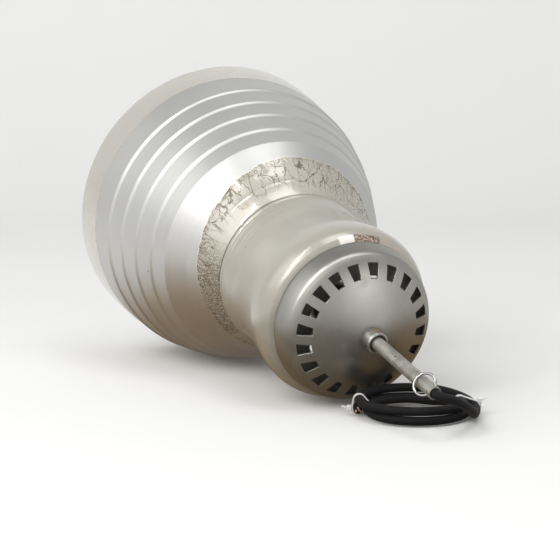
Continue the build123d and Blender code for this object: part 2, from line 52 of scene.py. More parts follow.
# ------------------------------------------------------------------ shader building
class Value:
    """A node output that adds Math nodes when it is used in arithmetic."""

    def __init__(self, mat, socket):
        self.mat = mat
        self.socket = socket

    def __add__(self, other):
        return self.mat.math("ADD", self, other)

    def __radd__(self, other):
        return self.mat.math("ADD", other, self)

    def __sub__(self, other):
        return self.mat.math("SUBTRACT", self, other)

    def __rsub__(self, other):
        return self.mat.math("SUBTRACT", other, self)

    def __mul__(self, other):
        return self.mat.math("MULTIPLY", self, other)

    def __rmul__(self, other):
        return self.mat.math("MULTIPLY", other, self)

    def swing(self, amount):
        """Turn a 0..1 pattern into one centred on 0 and `amount` wide."""
        return (self - 0.5) * amount

    def ramp(self, zero, one):
        """Smooth step: 0 at `zero` and beyond, 1 at `one` and beyond, whichever is larger."""
        start, end = sorted((zero, one))
        inputs = {0: self, 1: start, 2: end, 3: float(zero > one), 4: float(zero <= one)}
        return self.mat.value("MapRange", inputs, interpolation_type="SMOOTHSTEP")


class Shader:
    """Builds one material's node tree. Inputs may be numbers, tuples or Values."""

    def __init__(self, name):
        self.material = bpy.data.materials.new(name)
        self.material.use_nodes = True
        self.tree = self.material.node_tree
        self.tree.nodes.clear()

    def add(self, kind, inputs, **settings):
        """Add a node and feed its inputs, given as {index or name: value}."""
        made = self.tree.nodes.new("ShaderNode" + kind)
        for key, setting in settings.items():
            setattr(made, key, setting)
        for key, value in inputs.items():
            socket = made.inputs[key]
            if isinstance(value, Value):
                self.tree.links.new(value.socket, socket)
            elif value is not None:
                if socket.type == "RGBA":
                    value = (*value, 1.0)
                socket.default_value = value
        return made

    def value(self, kind, inputs, output=0, **settings):
        return Value(self, self.add(kind, inputs, **settings).outputs[output])

    def outputs(self, kind, names, inputs):
        made = self.add(kind, inputs)
        return [Value(self, made.outputs[name]) for name in names]

    def math(self, operation, *values):
        return self.value("Math", dict(enumerate(values)), operation=operation)

    def maximum(self, first, *rest):
        other = self.maximum(*rest) if len(rest) > 1 else rest[0]
        return self.math("MAXIMUM", first, other)

    # places in the lamp's frame
    @cached_property
    def position(self):
        return self.value("TexCoord", {}, output="Object")

    @cached_property
    def axes(self):
        return self.outputs("SeparateXYZ", "XYZ", {0: self.position})

    @cached_property
    def height(self):
        """mm above the cap's lower edge."""
        return self.math("MULTIPLY_ADD", self.axes[2], 1000.0, -CAP_FOOT_Z)

    @cached_property
    def azimuth(self):
        """Radians round the stem."""
        return self.math("ARCTAN2", self.axes[1], self.axes[0])

    @cached_property
    def radius(self):
        """Metres from the stem's axis."""
        x, y, _ = self.axes
        return self.math("SQRT", x * x + y * y)

    def vector(self, x, y, z):
        return self.value("CombineXYZ", {0: x, 1: y, 2: z})

    def turned(self, per_radian, per_mm, third=0.0):
        """Texture place that follows the turning: azimuth, height and a third value."""
        return self.vector(self.azimuth * per_radian, self.height * per_mm, third)

    def along(self, direction, place):
        """Distance of a place along a direction."""
        return self.value("VectorMath", {0: place, 1: tuple(direction)}, output="Value",
                          operation="DOT_PRODUCT")

    def distance(self, place, point):
        return self.value("VectorMath", {0: place, 1: tuple(point)}, output="Value",
                          operation="DISTANCE")

    # patterns
    def noise(self, scale, detail=3.0, rough=0.5, vector=None, output=0):
        inputs = {"Vector": vector or self.position, "Scale": scale, "Detail": detail,
                  "Roughness": rough}
        return self.value("TexNoise", inputs, output)

    def streaks(self, stretch, detail, rough):
        """Noise drawn out along the axes with the smaller stretch factors."""
        place = self.value("VectorMath", {0: self.position, 1: stretch}, operation="MULTIPLY")
        return self.noise(scale=1.0, detail=detail, rough=rough, vector=place)

    def voronoi(self, scale, feature="DISTANCE_TO_EDGE", vector=None):
        inputs = {"Vector": vector or self.position, "Scale": scale}
        return self.value("TexVoronoi", inputs, feature=feature)

    def specks(self, scale, edge, patch_scale, patch):
        """Small dots in scattered patches; `edge` and `patch` are (zero, one) ramp ends."""
        dots = self.voronoi(scale, feature="F1").ramp(*edge)
        return dots * self.noise(patch_scale, detail=2.0).ramp(*patch)

    def spot(self, place, radius, soft=0.5):
        """1 inside a ragged spot round a point in mm; full from `soft` of the radius inward."""
        radius = radius / 1000
        away = self.distance(self.position, [axis / 1000 for axis in place])
        ragged = away + self.noise(scale=420.0).swing(radius * 0.9)
        return ragged.ramp(zero=radius, one=radius * soft)

    # colours
    def mix(self, mask, under, over):
        return self.value("Mix", {0: mask, 6: under, 7: over}, output=2, data_type="RGBA")

    def blend(self, mask, off, on):
        """The same for plain numbers."""
        return self.value("Mix", {0: mask, 2: off, 3: on}, data_type="FLOAT")

    def dim(self, colour, factor):
        grey = self.vector(factor, factor, factor)
        return self.value("Mix", {0: 1.0, 6: colour, 7: grey}, output=2, data_type="RGBA",
                          blend_type="MULTIPLY")

    def blotch(self, under, over, amount, scale, zero, one, detail=3.0, rough=0.5):
        """Lay patches of a second colour over the first."""
        patches = self.noise(scale, detail, rough).ramp(zero, one)
        return self.mix(patches * amount, under, over)

    # surfaces
    def bump(self, relief, distance, strength, normal=None):
        """`distance` is the relief's full height in metres."""
        inputs = {"Strength": strength, "Distance": distance, "Height": relief, "Normal": normal}
        return self.value("Bump", inputs)

    def surface(self, colour, rough, metal=0.0, normal=None, **others):
        inputs = {"Base Color": colour, "Roughness": rough, "Metallic": metal, "Normal": normal}
        inputs.update((key.replace("_", " "), value) for key, value in others.items())
        return self.value("BsdfPrincipled", inputs)

    def transparent(self, colour=None):
        return self.value("BsdfTransparent", {0: colour})

    def mix_surfaces(self, factor, off, on):
        return self.value("MixShader", {0: factor, 1: off, 2: on})

    def finish(self, surface):
        self.add("OutputMaterial", {0: surface})
        return self.material


# ------------------------------------------------------------------ reflector materials
def lacquer_colour(mat, slow, fine, rings):
    """Satin aluminium lacquer: fine grain, faint turning lines and a few dark specks."""
    colour = mat.mix(slow.ramp(zero=0.3, one=0.7), (0.60, 0.598, 0.585), (0.65, 0.648, 0.635))
    colour = mat.dim(colour, 0.93 + rings * 0.14)
    colour = mat.dim(colour, 0.95 + fine * 0.10)
    specks = mat.specks(scale=95.0, edge=(0.055, 0.035), patch_scale=23.0, patch=(0.60, 0.66))
    colour = mat.mix(specks * 0.8, colour, (0.13, 0.12, 0.11))
    chip = mat.spot((103.4, -86.1, -411.4), radius=1.5)
    return mat.mix(chip, colour, (0.10, 0.10, 0.10))


def crackle(mat, degrees, lower_edge):
    """How densely the collar is crackled, and the mask of its cracks."""
    # Cells on the unrolled collar, squeezed round it so most cracks run along the profile.
    around = mat.azimuth * 92.0     # mm, about the collar's mean radius
    warp = mat.noise(scale=0.085, detail=4.0, rough=0.62, output=1,
                     vector=mat.vector(around, mat.height, 0.0))
    warp_x, warp_y = mat.outputs("SeparateXYZ", "XY", {0: warp})
    cells = mat.vector(around + warp_x.swing(13.0), mat.height * 0.40 + warp_y.swing(11.0), 0.0)

    def shifted(x, y):
        return mat.value("VectorMath", {0: cells, 1: mat.vector(x, y, 0.0)}, operation="ADD")

    large = mat.voronoi(scale=0.105, vector=cells)
    medium = mat.voronoi(scale=0.23, vector=shifted(x=31.0, y=7.0))
    small = mat.voronoi(scale=0.62, vector=shifted(x=3.0, y=57.0))
    # 0 where the glass is smooth, 1 where the crackle is dense and grainy
    dense = mat.maximum(degrees.ramp(zero=283.0, one=312.0),
                        degrees.ramp(zero=222.0, one=196.0) * 0.45)
    dense = mat.maximum(dense, 0.9 * mat.noise(scale=30.0, detail=2.0).ramp(zero=0.60, one=0.74))
    span = mat.height.ramp(zero=-147.0, one=-158.0)
    near_edge = (mat.height - lower_edge).ramp(zero=9.0, one=1.0)

    patches = mat.noise(scale=0.05, detail=2.0, vector=cells).ramp(zero=0.52, one=0.62)
    large = large.ramp(zero=0.030, one=0.012)
    medium = medium.ramp(zero=0.042, one=0.018) * mat.maximum(near_edge * 0.9, dense, patches)
    edge_patches = mat.noise(scale=45.0, detail=2.0).ramp(zero=0.42, one=0.55)
    small = small.ramp(zero=0.085, one=0.035) * mat.maximum(dense, near_edge * edge_patches)
    cracks = mat.maximum(large * mat.maximum(span, dense),
                         medium * mat.maximum(span, dense), small)
    return dense, cracks


def collar_colour(mat, dense, grain, cracks):
    """Aged cream backing, grainy where the crackle is dense, with brown cracks."""
    colour = mat.mix(mat.noise(scale=26.0), (0.53, 0.50, 0.43), (0.60, 0.57, 0.495))
    colour = mat.blotch(colour, (0.52, 0.46, 0.38), amount=0.35, scale=120.0, zero=0.5, one=0.7)
    colour = mat.mix(dense * 0.75 * grain, colour, (0.70, 0.67, 0.59))
    colour = mat.mix(dense * 0.70 * (1.0 - grain), colour, (0.26, 0.225, 0.165))
    crack_colour = mat.mix(mat.noise(scale=150.0, detail=2.0),
                           (0.092, 0.070, 0.034), (0.18, 0.145, 0.085))
    return mat.mix(cracks * 0.92, colour, crack_colour)


def neck_colour(mat, slow, rust, bare):
    """Slightly yellowed mirror behind clear glass, flaked beside the cap."""
    colour = mat.mix(slow, (0.418, 0.395, 0.338), (0.455, 0.432, 0.373))
    rings = mat.noise(scale=1.0, detail=4.0, rough=0.7,
                      vector=mat.turned(per_radian=0.3, per_mm=0.8))
    colour = mat.dim(colour, 0.90 + rings * 0.20)
    stain = mat.spot((35.5, -77.2, -188.5), radius=3.6, soft=0.1)
    faint_stain = mat.spot((56.1, -70.1, -196.2), radius=4.2, soft=0.1)
    colour = mat.mix(mat.maximum(stain, faint_stain * 0.6) * 0.55, colour, (0.42, 0.30, 0.24))
    patches = mat.noise(scale=55.0, detail=4.0, rough=0.6).ramp(zero=0.53, one=0.66)
    top_blotch = mat.height.ramp(zero=-30.0, one=-8.0) * patches
    colour = mat.mix(top_blotch * 0.35, colour, (0.52, 0.44, 0.37))
    rust_grain = mat.noise(scale=430.0, detail=4.0, rough=0.7).ramp(zero=0.42, one=0.6)
    colour = mat.mix(rust, colour, mat.mix(rust_grain, (0.12, 0.065, 0.04), (0.52, 0.42, 0.34)))
    return mat.mix(bare, colour, (0.93, 0.89, 0.84))


def glass_outside():
    """Zones from the mouth up: bare rim, lacquer, crackled collar, mirrored neck."""
    mat = Shader("silvered_glass_outside")
    height = mat.height
    slow = mat.noise(scale=7.0, detail=2.0)
    middle = mat.noise(scale=60.0, detail=4.0, rough=0.6)
    fine = mat.noise(scale=1400.0, rough=0.6)
    degrees = mat.math("WRAP", mat.azimuth * (180 / math.pi), 360.0, 0.0)

    # Wavy heights where the lacquer starts and ends; the upper one is also tilted.
    lower_edge = -336.0 + (mat.noise(scale=9.0, detail=1.0).swing(13.0) + middle.swing(1.6))
    above_lower = (height - lower_edge).ramp(zero=-0.25, one=0.25)
    tilt = -173.5 - 13.5 * mat.math("COSINE", mat.azimuth - math.radians(200.0))
    upper_edge = tilt + (mat.noise(scale=34.0, rough=0.6).swing(9.0)
                         + mat.noise(scale=260.0).swing(3.0))
    below_upper = (upper_edge - height).ramp(zero=-0.3, one=0.3)
    lacquer = above_lower * below_upper
    neck = height.ramp(zero=-143.2, one=-142.2)
    collar = (1.0 - below_upper) * (1.0 - neck)

    rings = mat.noise(scale=1.0, detail=5.0, rough=0.65,
                      vector=mat.turned(per_radian=0.25, per_mm=0.55, third=mat.radius * 300.0))
    satin = lacquer_colour(mat, slow, fine, rings)
    # worn cream lines along both edges of the lacquer
    lower_line = (height - lower_edge).ramp(zero=1.1, one=0.1) * above_lower
    upper_line = (upper_edge - height).ramp(zero=1.6, one=0.2) * below_upper
    satin = mat.mix(upper_line * 0.75, satin, (0.78, 0.73, 0.62))
    satin = mat.mix(lower_line * 0.45, satin, (0.72, 0.68, 0.58))

    # bare band at the mouth: cream silvering behind clear glass
    rim = mat.mix(slow, (0.60, 0.58, 0.525), (0.66, 0.64, 0.585))
    rim_grain = mat.noise(scale=1.0, vector=mat.turned(per_radian=3.0, per_mm=0.12))
    rim = mat.dim(rim, 0.96 + rim_grain * 0.08)

    dense, cracks = crackle(mat, degrees, upper_edge)
    grain = mat.noise(scale=760.0, detail=4.0, rough=0.72).ramp(zero=0.46, one=0.54)
    cream = collar_colour(mat, dense, grain, cracks)

    groove_shade = mat.maximum(height.ramp(zero=-143.6, one=-142.5)
                         * height.ramp(zero=-140.9, one=-141.9), 0.0)
    # flaked silvering beside the cap: a pale bare patch, then a rust-brown one
    flake_band = height.ramp(zero=-9.5, one=-8.0) * height.ramp(zero=2.0, one=0.5)
    bare = flake_band * (degrees.ramp(zero=221.0, one=222.0)
                         * degrees.ramp(zero=233.5, one=231.5))
    rust = flake_band * (degrees.ramp(zero=200.5, one=203.0)
                         * degrees.ramp(zero=223.0, one=221.5))

    colour = mat.mix(below_upper, cream, mat.mix(above_lower, rim, satin))
    colour = mat.mix(neck, colour, neck_colour(mat, slow, rust, bare))
    # painted shade: the groove between collar and neck is coloured near black
    colour = mat.mix(groove_shade * 0.85, colour, (0.05, 0.045, 0.04))

    # Each property goes from the rim and collar, to the lacquer, to the neck.
    dull = mat.maximum(bare, rust)
    rough = mat.blend(collar, off=0.20, on=mat.blend(dense, off=0.22, on=0.42))
    rough = mat.blend(lacquer, off=rough, on=0.47 + middle.swing(0.06))
    rough = mat.blend(neck, off=rough, on=mat.blend(dull, off=0.32, on=0.5))
    rough = mat.blend(cracks * collar, off=rough, on=0.6)
    metal = mat.blend(collar, off=0.55, on=mat.blend(dense, off=0.16, on=0.10))
    metal = mat.blend(lacquer, off=metal, on=0.93)
    metal = mat.blend(neck, off=metal, on=mat.blend(dull, off=0.20, on=0.0))
    # painted shade: the groove is also made less metallic
    metal = metal * (1.0 - groove_shade * 0.8)
    coat = mat.blend(lacquer, off=mat.blend(collar * dense, off=1.0, on=0.35), on=0.10)

    # lacquer thickness, crackle, turning lines and grain, then the waves of blown glass
    relief = (lacquer * 1.0
              + collar * (1.0 - cracks) * 0.8
              + lacquer * rings * 0.16
              + lacquer * fine * 0.12
              + collar * dense * grain * 0.7
              + rust * (mat.noise(scale=430.0, detail=4.0, rough=0.7) * 1.5))
    normal = mat.bump(relief, distance=0.00022, strength=0.8)
    normal = mat.bump(mat.noise(scale=11.0, detail=2.0), distance=0.0012, strength=0.35,
                      normal=normal)
    coat_normal = mat.bump(mat.noise(scale=14.0, detail=2.0), distance=0.0010, strength=0.25)
    return mat.finish(mat.surface(colour, rough, metal, normal, Coat_Weight=coat,
                                  Coat_Roughness=0.025, Coat_Normal=coat_normal))


def glass_inside():
    mat = Shader("silvered_glass_inside")
    colour = mat.mix(mat.noise(scale=9.0), (0.78, 0.775, 0.75), (0.86, 0.855, 0.84))
    colour = mat.blotch(colour, (0.52, 0.47, 0.40), amount=0.35, scale=55.0, detail=5.0,
                        rough=0.65, zero=0.56, one=0.72)
    specks = mat.specks(scale=130.0, edge=(0.09, 0.05), patch_scale=18.0, patch=(0.5, 0.62))
    colour = mat.mix(specks * 0.6, colour, (0.28, 0.25, 0.21))
    waves = mat.noise(scale=1.0, vector=mat.turned(per_radian=1.0, per_mm=0.3))
    relief = mat.noise(scale=26.0, detail=2.0) + waves * 0.6
    normal = mat.bump(relief, distance=0.0016, strength=0.4)
    rough = 0.07 + mat.noise(scale=30.0) * 0.10
    return mat.finish(mat.surface(colour, rough, metal=0.95, normal=normal,
                                  Coat_Weight=0.8, Coat_Roughness=0.03))


def glass_edge():
    mat = Shader("ground_glass_edge")
    colour = mat.mix(mat.noise(scale=40.0), (0.55, 0.60, 0.55), (0.72, 0.75, 0.70))
    normal = mat.bump(mat.noise(scale=900.0), distance=0.0001, strength=0.6)
    return mat.finish(mat.surface(colour, 0.30 + mat.noise(scale=500.0) * 0.3, normal=normal,
                                  Coat_Weight=0.6, Coat_Roughness=0.1))


# ------------------------------------------------------------------ metal materials
def spinning_marks(mat):
    """Turning lines round the stem, and a broad patchiness."""
    place = mat.vector(mat.azimuth * 0.35, mat.radius * 1500.0, mat.height * 0.9)
    lines = mat.noise(scale=1.0, detail=6.0, rough=0.75, vector=place)
    return lines, mat.noise(scale=26.0, rough=0.55)


def cap_inside():
    mat = Shader("spun_aluminium_inside")
    lines, patches = spinning_marks(mat)
    # painted shade: the inside of the cap is coloured much darker than its outside
    colour = mat.mix(patches, (0.16, 0.15, 0.135), (0.25, 0.24, 0.22))
    return mat.finish(mat.surface(colour, rough=0.62, metal=0.5,
                                  normal=mat.bump(lines, distance=0.0002, strength=0.5)))


def cap_outside():
    mat = Shader("spun_aluminium")
    lines, patches = spinning_marks(mat)
    colour = mat.mix(patches, (0.375, 0.368, 0.342), (0.425, 0.417, 0.39))
    colour = mat.dim(colour, 0.90 + lines * 0.20)
    bloom = mat.noise(scale=70.0, detail=4.0, rough=0.6).ramp(zero=0.52, one=0.72)
    colour = mat.mix(bloom * 0.22, colour, (0.42, 0.39, 0.33))
    pits = mat.specks(scale=330.0, edge=(0.12, 0.05), patch_scale=48.0, patch=(0.56, 0.66))
    colour = mat.mix(pits * 0.55, colour, (0.18, 0.165, 0.14))
    # painted shade with patchy dirt: darker at the foot of the skirt, where it meets the glass,
    # and round the hub
    grime_and_shade = mat.maximum(mat.height.ramp(zero=4.5, one=0.0),
                        mat.radius.ramp(zero=0.0165, one=0.0115) * 0.9)
    colour = mat.mix(grime_and_shade * (0.25 + mat.noise(scale=90.0) * 0.5), colour, (0.20, 0.18, 0.15))
    scratches = mat.streaks((900.0, 60.0, 60.0), detail=2.0, rough=0.5).ramp(zero=0.73, one=0.80)
    colour = mat.mix(scratches * 0.35, colour, (0.85, 0.85, 0.83))
    rough = 0.36 + mat.noise(scale=40.0).swing(0.12) + bloom * 0.08
    normal = mat.bump(lines * 0.6 + pits * -0.7, distance=0.00012, strength=0.5)
    tangent = mat.value("Tangent", {}, direction_type="RADIAL", axis="Z")
    return mat.finish(mat.surface(colour, rough, metal=1.0, normal=normal, Anisotropic=0.65,
                                  Tangent=tangent))


def metal_finish(name, dark, light, rough, scale, spot, metal=1.0, relief=0.0001, stretch=None):
    """Mottled metal with spots; `stretch` draws the fine grain out into lines."""
    mat = Shader(name)
    colour = mat.mix(mat.noise(scale, detail=4.0, rough=0.6), dark, light)
    if spot:
        colour = mat.blotch(colour, spot, amount=0.75, scale=scale * 3.1, detail=4.0, rough=0.7,
                            zero=0.54, one=0.70)
    if stretch:
        grain = mat.streaks(stretch, detail=4.0, rough=0.7)
        colour = mat.dim(colour, 0.9 + grain * 0.2)
    else:
        grain = mat.noise(scale * 14, rough=0.6)
    normal = mat.bump(grain, distance=relief, strength=0.5)
    rough = rough + mat.noise(scale * 1.7).swing(0.16)
    return mat.finish(mat.surface(colour, rough, metal, normal))


def stem_finish():
    mat = Shader("galvanised_tube")
    colour = mat.mix(mat.noise(scale=75.0, detail=4.0, rough=0.6).ramp(zero=0.35, one=0.68),
                     (0.37, 0.36, 0.315), (0.53, 0.52, 0.475))
    colour = mat.blotch(colour, (0.27, 0.25, 0.20), amount=0.55, scale=260.0, detail=4.0,
                        rough=0.65, zero=0.56, one=0.70)
    colour = mat.blotch(colour, (0.66, 0.65, 0.61), amount=0.5, scale=190.0, detail=2.0,
                        zero=0.60, one=0.72)
    drawn = mat.streaks((900.0, 900.0, 22.0), detail=3.0, rough=0.6)
    colour = mat.dim(colour, 0.88 + drawn * 0.24)
    dark_spot = mat.spot((-1.9, -6.7, -71.3), radius=1.7, soft=0.3)
    colour = mat.mix(dark_spot * 0.85, colour, (0.09, 0.08, 0.07))
    brown_spot = mat.spot((3.9, -5.6, 2.6), radius=2.6, soft=0.2)
    colour = mat.mix(brown_spot * 0.8, colour, (0.22, 0.12, 0.08))
    # painted shade: the stem is darker below 65.5–70 mm, where it runs down into the hub and the
    # lamp
    colour = mat.mix(mat.height.ramp(zero=70.0, one=65.5) * 0.5, colour, (0.20, 0.17, 0.14))
    relief = mat.noise(scale=500.0, detail=4.0, rough=0.6) + drawn
    return mat.finish(mat.surface(colour, 0.40 + mat.noise(scale=140.0) * 0.18, metal=0.8,
                                  normal=mat.bump(relief, distance=0.00015, strength=0.45)))


def ring_plating():
    mat = Shader("plated_ring")
    colour = mat.mix(mat.noise(scale=300.0, detail=4.0, rough=0.6),
                     (0.40, 0.40, 0.395), (0.54, 0.54, 0.535))
    colour = mat.blotch(colour, (0.30, 0.25, 0.20), amount=0.5, scale=420.0, detail=4.0,
                        rough=0.7, zero=0.60, one=0.72)
    normal = mat.bump(mat.noise(scale=700.0, detail=2.0), distance=0.00005, strength=0.4)
    return mat.finish(mat.surface(colour, 0.07 + mat.noise(scale=260.0) * 0.16, metal=1.0,
                                  normal=normal))


# ------------------------------------------------------------------ other materials
def braid():
    """Two crossing sets of strands; UV u counts strand pitches, v turns round the flex."""
    mat = Shader("black_braid")
    unwrapped = mat.value("UVMap", {}, uv_map="UVMap")
    length, turn = mat.outputs("SeparateXYZ", "XY", {0: unwrapped})
    strands = 12.0      # round the flex, in each set
    right = turn * strands + length
    left = turn * strands - length
    right_ridge = mat.math("ABSOLUTE", mat.math("SINE", right * math.pi))
    left_ridge = mat.math("ABSOLUTE", mat.math("SINE", left * math.pi))
    crossing = mat.math("FLOOR", right) + mat.math("FLOOR", left)
    # the small extra keeps the sine off its zeros
    over = mat.math("SINE", crossing * (math.pi / 2 + 1e-3)).ramp(zero=-0.15, one=0.15)
    relief = mat.blend(over, off=mat.maximum(right_ridge, left_ridge * 0.6),
                       on=mat.maximum(left_ridge, right_ridge * 0.6))
    fibres = mat.noise(scale=1.0, detail=4.0, rough=0.7,
                       vector=mat.vector(right * 9.0, left * 9.0, 0.0))
    colour = mat.mix(relief, (0.0025, 0.0025, 0.003), (0.009, 0.009, 0.0105))
    colour = mat.dim(colour, 0.6 + fibres * 0.8)
    colour = mat.blotch(colour, (0.020, 0.019, 0.018), amount=0.30, scale=35.0, detail=4.0,
                        rough=0.6, zero=0.5, one=0.75)
    normal = mat.bump(relief + fibres * 0.3, distance=0.0005, strength=0.75)
    return mat.finish(mat.surface(colour, 0.82 - relief * 0.25, normal=normal,
                                  Sheen_Weight=0.03, Sheen_Roughness=0.4,
                                  Specular_IOR_Level=0.26))


def plain_finish(name, dark, light, rough, scale, relief=0.00008, grime_and_shade=None, **others):
    """Mottled non-metal, with optional patches of grime."""
    mat = Shader(name)
    colour = mat.mix(mat.noise(scale, detail=4.0, rough=0.6), dark, light)
    if grime_and_shade:
        colour = mat.blotch(colour, grime_and_shade, amount=0.5, scale=scale * 2.3, detail=5.0,
                            rough=0.65, zero=0.5, one=0.75)
    normal = mat.bump(mat.noise(scale * 16), distance=relief, strength=0.5)
    rough = rough + mat.noise(scale * 3).swing(0.12)
    return mat.finish(mat.surface(colour, rough, normal=normal, **others))


def stripped_cores(direction, start):
    """Grey sleeve next to the flex, bare stranded copper at the tips (metres)."""
    mat = Shader("stripped_cores")
    bare = (mat.along(direction, mat.position) - start).ramp(zero=0.0052, one=0.0056)
    strands = mat.math("SINE", mat.noise(scale=1500.0, detail=2.0) * 40.0)
    grey = mat.mix(mat.noise(scale=900.0, detail=2.0), (0.50, 0.49, 0.47), (0.80, 0.79, 0.77))
    copper = mat.mix(mat.noise(scale=1200.0, detail=2.0), (0.62, 0.36, 0.24), (0.86, 0.62, 0.47))
    return mat.finish(mat.surface(mat.mix(bare, grey, copper),
                                  rough=mat.blend(bare, off=0.45, on=0.28), metal=bare * 0.95,
                                  normal=mat.bump(strands, distance=0.0001, strength=0.5)))


def bulb_finish(name, haze=0.0):
    """See-through glass that reflects at glancing angles and where it is dusty."""
    mat = Shader(name)
    smear = mat.noise(scale=90.0, detail=4.0).ramp(zero=0.5, one=0.8)
    glass = mat.surface(mat.mix(mat.noise(scale=60.0), (0.93, 0.95, 0.95), (1.0, 1.0, 1.0)),
                        rough=0.015 + smear * 0.05, Coat_Weight=0.5,
                        normal=mat.bump(mat.noise(scale=28.0, detail=2.0), distance=0.0004,
                                        strength=0.2))
    dust = mat.noise(scale=45.0, detail=5.0, rough=0.7).ramp(zero=0.45, one=0.8) * 0.10
    glancing = mat.value("Fresnel", {"IOR": 1.5})
    solid = mat.math("MINIMUM", glancing * 0.85 + dust + haze, 0.92)
    return mat.finish(mat.mix_surfaces(solid, mat.transparent((0.97, 0.98, 0.98)), glass))


# ------------------------------------------------------------------ mesh helpers
def new_object(name, mesh):
    made = bpy.data.objects.new(name, mesh)
    bpy.context.scene.collection.objects.link(made)
    return made


def smooth_object(name, verts, faces, materials, slots=None, sharp=None, uv=None):
    """Object from points in mm. `slots` is each face's material, `sharp` an angle in degrees."""
    mesh = bpy.data.meshes.new(name)
    mesh.from_pydata([tuple(map(float, vert)) for vert in np.array(verts) / 1000.0], [], faces)
    for material in materials:
        mesh.materials.append(material)
    if slots is not None:
        mesh.polygons.foreach_set("material_index", np.asarray(slots, np.int32))
    if uv is not None:
        layer = mesh.uv_layers.new(name="UVMap")
        layer.data.foreach_set("uv", np.asarray(uv, np.float32).ravel())
    mesh.validate()
    work = bmesh.new()
    work.from_mesh(mesh)
    bmesh.ops.recalc_face_normals(work, faces=work.faces)
    work.to_mesh(mesh)
    work.free()
    mesh.shade_smooth()
    if sharp is not None:
        mesh.set_sharp_from_angle(angle=math.radians(sharp))
    return new_object(name, mesh)


def circle(radius, height, angles):
    """Points round the stem at a height above the cap's lower edge."""
    z = np.full(len(angles), height + CAP_FOOT_Z)
    return np.c_[radius * np.cos(angles), radius * np.sin(angles), z]


def band_quad(row, other_row, column, count):
    """Face between two closed rows of `count` points."""
    after = (column + 1) % count
    return (row * count + column, row * count + after,
            other_row * count + after, other_row * count + column)


def smooth_profile(points, width_at, step):
    """Resample a profile at `step` mm, then average it with a Gaussian width set by place."""
    points = np.array(points, float)
    dense = [points[0]]
    for start, end in zip(points[:-1], points[1:]):
        pieces = max(1, int(math.ceil(float(np.hypot(*(end - start))) / step)))
        for i in range(1, pieces + 1):
            dense.append(start + (end - start) * i / pieces)
    dense = np.array(dense)
    run = np.r_[0, np.cumsum(np.hypot(*np.diff(dense, axis=0).T))]
    spacing = np.gradient(run)
    smooth = dense.copy()
    for i, point in enumerate(dense):
        to_end = min(run[i], run[-1] - run[i])
        width = min(width_at(point), max(to_end / 2.5, 1e-3))    # holds the end points
        weight = np.exp(-0.5 * ((run - run[i]) / width) ** 2) * spacing
        smooth[i] = (weight[:, None] * dense).sum(0) / weight.sum()
    return smooth


def thin(points, gap_at):
    """Drop points closer together than the gap wanted at each place; keep both ends."""
    kept = [points[0]]
    travelled = 0.0
    for before, point in zip(points[:-1], points[1:]):
        travelled += float(np.hypot(*(point - before)))
        if travelled >= gap_at(point):
            kept.append(point)
            travelled = 0.0
    kept[-1] = points[-1]
    return np.array(kept)


# ------------------------------------------------------------------ reflector
# Profiles are (radius, height) in mm, from the mouth up.
SHELL_SEGMENTS = 360
STEP_RISE, STEP_INSET = 2.8, 2.3    # size of each ring-shaped step in the wall
STEPS = [(155.8, -298.7), (149.3, -272.4), (141.8, -248.3), (132.7, -224.4), (124.0, -201.7),
         (109.8, -183.9)]           # middle of each step
MOUTH = [(162.5, -375.8), (162.1, -366.0), (161.3, -352.0), (159.7, -336.0), (158.4, -318.0)]
COLLAR = [(105.6, -177.6), (101.4, -170.8), (97.4, -163.6), (93.8, -156.6), (90.0, -149.8),
          (87.3, -145.4)]
NECK = [
    (85.3, -142.6), (84.7, -141.9), (85.6, -140.9), (86.5, -139.0), (86.4, -137.0),
    (85.0, -135.4), (84.7, -134.4), (85.2, -133.0), (84.9, -131.4), (84.2, -130.0),
    (84.5, -128.0), (84.1, -125.6), (83.6, -122.0), (83.1, -116.0), (82.9, -108.0),
    (83.1, -99.0), (83.8, -90.0), (85.3, -76.0), (87.1, -62.0), (89.1, -48.0), (90.7, -36.0),
    (91.5, -27.0), (91.3, -20.0), (90.1, -14.5), (88.0, -10.0), (85.4, -6.6), (82.4, -4.2),
    (79.8, -2.7), (78.2, -1.2), (77.5, 1.0), (77.5, 7.0), (76.6, 9.1), (74.6, 10.0)]
INSIDE = [
    (158.3, -375.8), (157.7, -366.0), (156.9, -352.0), (155.3, -336.0), (153.4, -318.0),
    (151.2, -300.0), (144.8, -274.0), (137.2, -250.0), (128.2, -226.4), (119.4, -204.2),
    (106.0, -187.8), (101.0, -180.0), (96.6, -172.6), (92.6, -165.4), (89.0, -158.4),
    (85.4, -151.0), (82.0, -145.0), (80.4, -139.0), (80.1, -130.0), (79.2, -122.0),
    (78.7, -108.0), (78.9, -98.0), (79.8, -88.0), (81.2, -75.0), (83.0, -61.0), (85.0, -47.0),
    (86.5, -35.0), (87.2, -27.0), (87.0, -21.0), (86.0, -16.5), (84.2, -12.6), (81.4, -9.4),
    (78.0, -6.9), (75.0, -4.4), (73.6, -1.6), (73.3, 1.5), (73.0, 4.2), (72.0, 6.0)]
TOP_LIP = [(66.6, 10.0), (66.0, 9.4), (66.0, 6.6), (66.6, 6.0)]     # edge of the top opening


def step_distance(height):
    return min(abs(height - step) for _, step in STEPS)


def outside_smoothing(point):
    """Tight at the steps and the neck's beads, wide on the plain wall."""
    height = point[1]
    if -308 < height < -176:
        away = min(1.0, max(0.0, (step_distance(height) - 3.0) / 5.0))
        return 0.55 + 2.4 * away
    if -147 < height < -126:
        return 0.42 + (1.2 if height > -129 else 0.0)
    return 0.8 if height > -7 else 2.6


def outside_gap(point):
    height = point[1]
    detailed = step_distance(height) < 5 or -165 < height < -104 or height > -8
    return 0.42 if detailed else 1.7


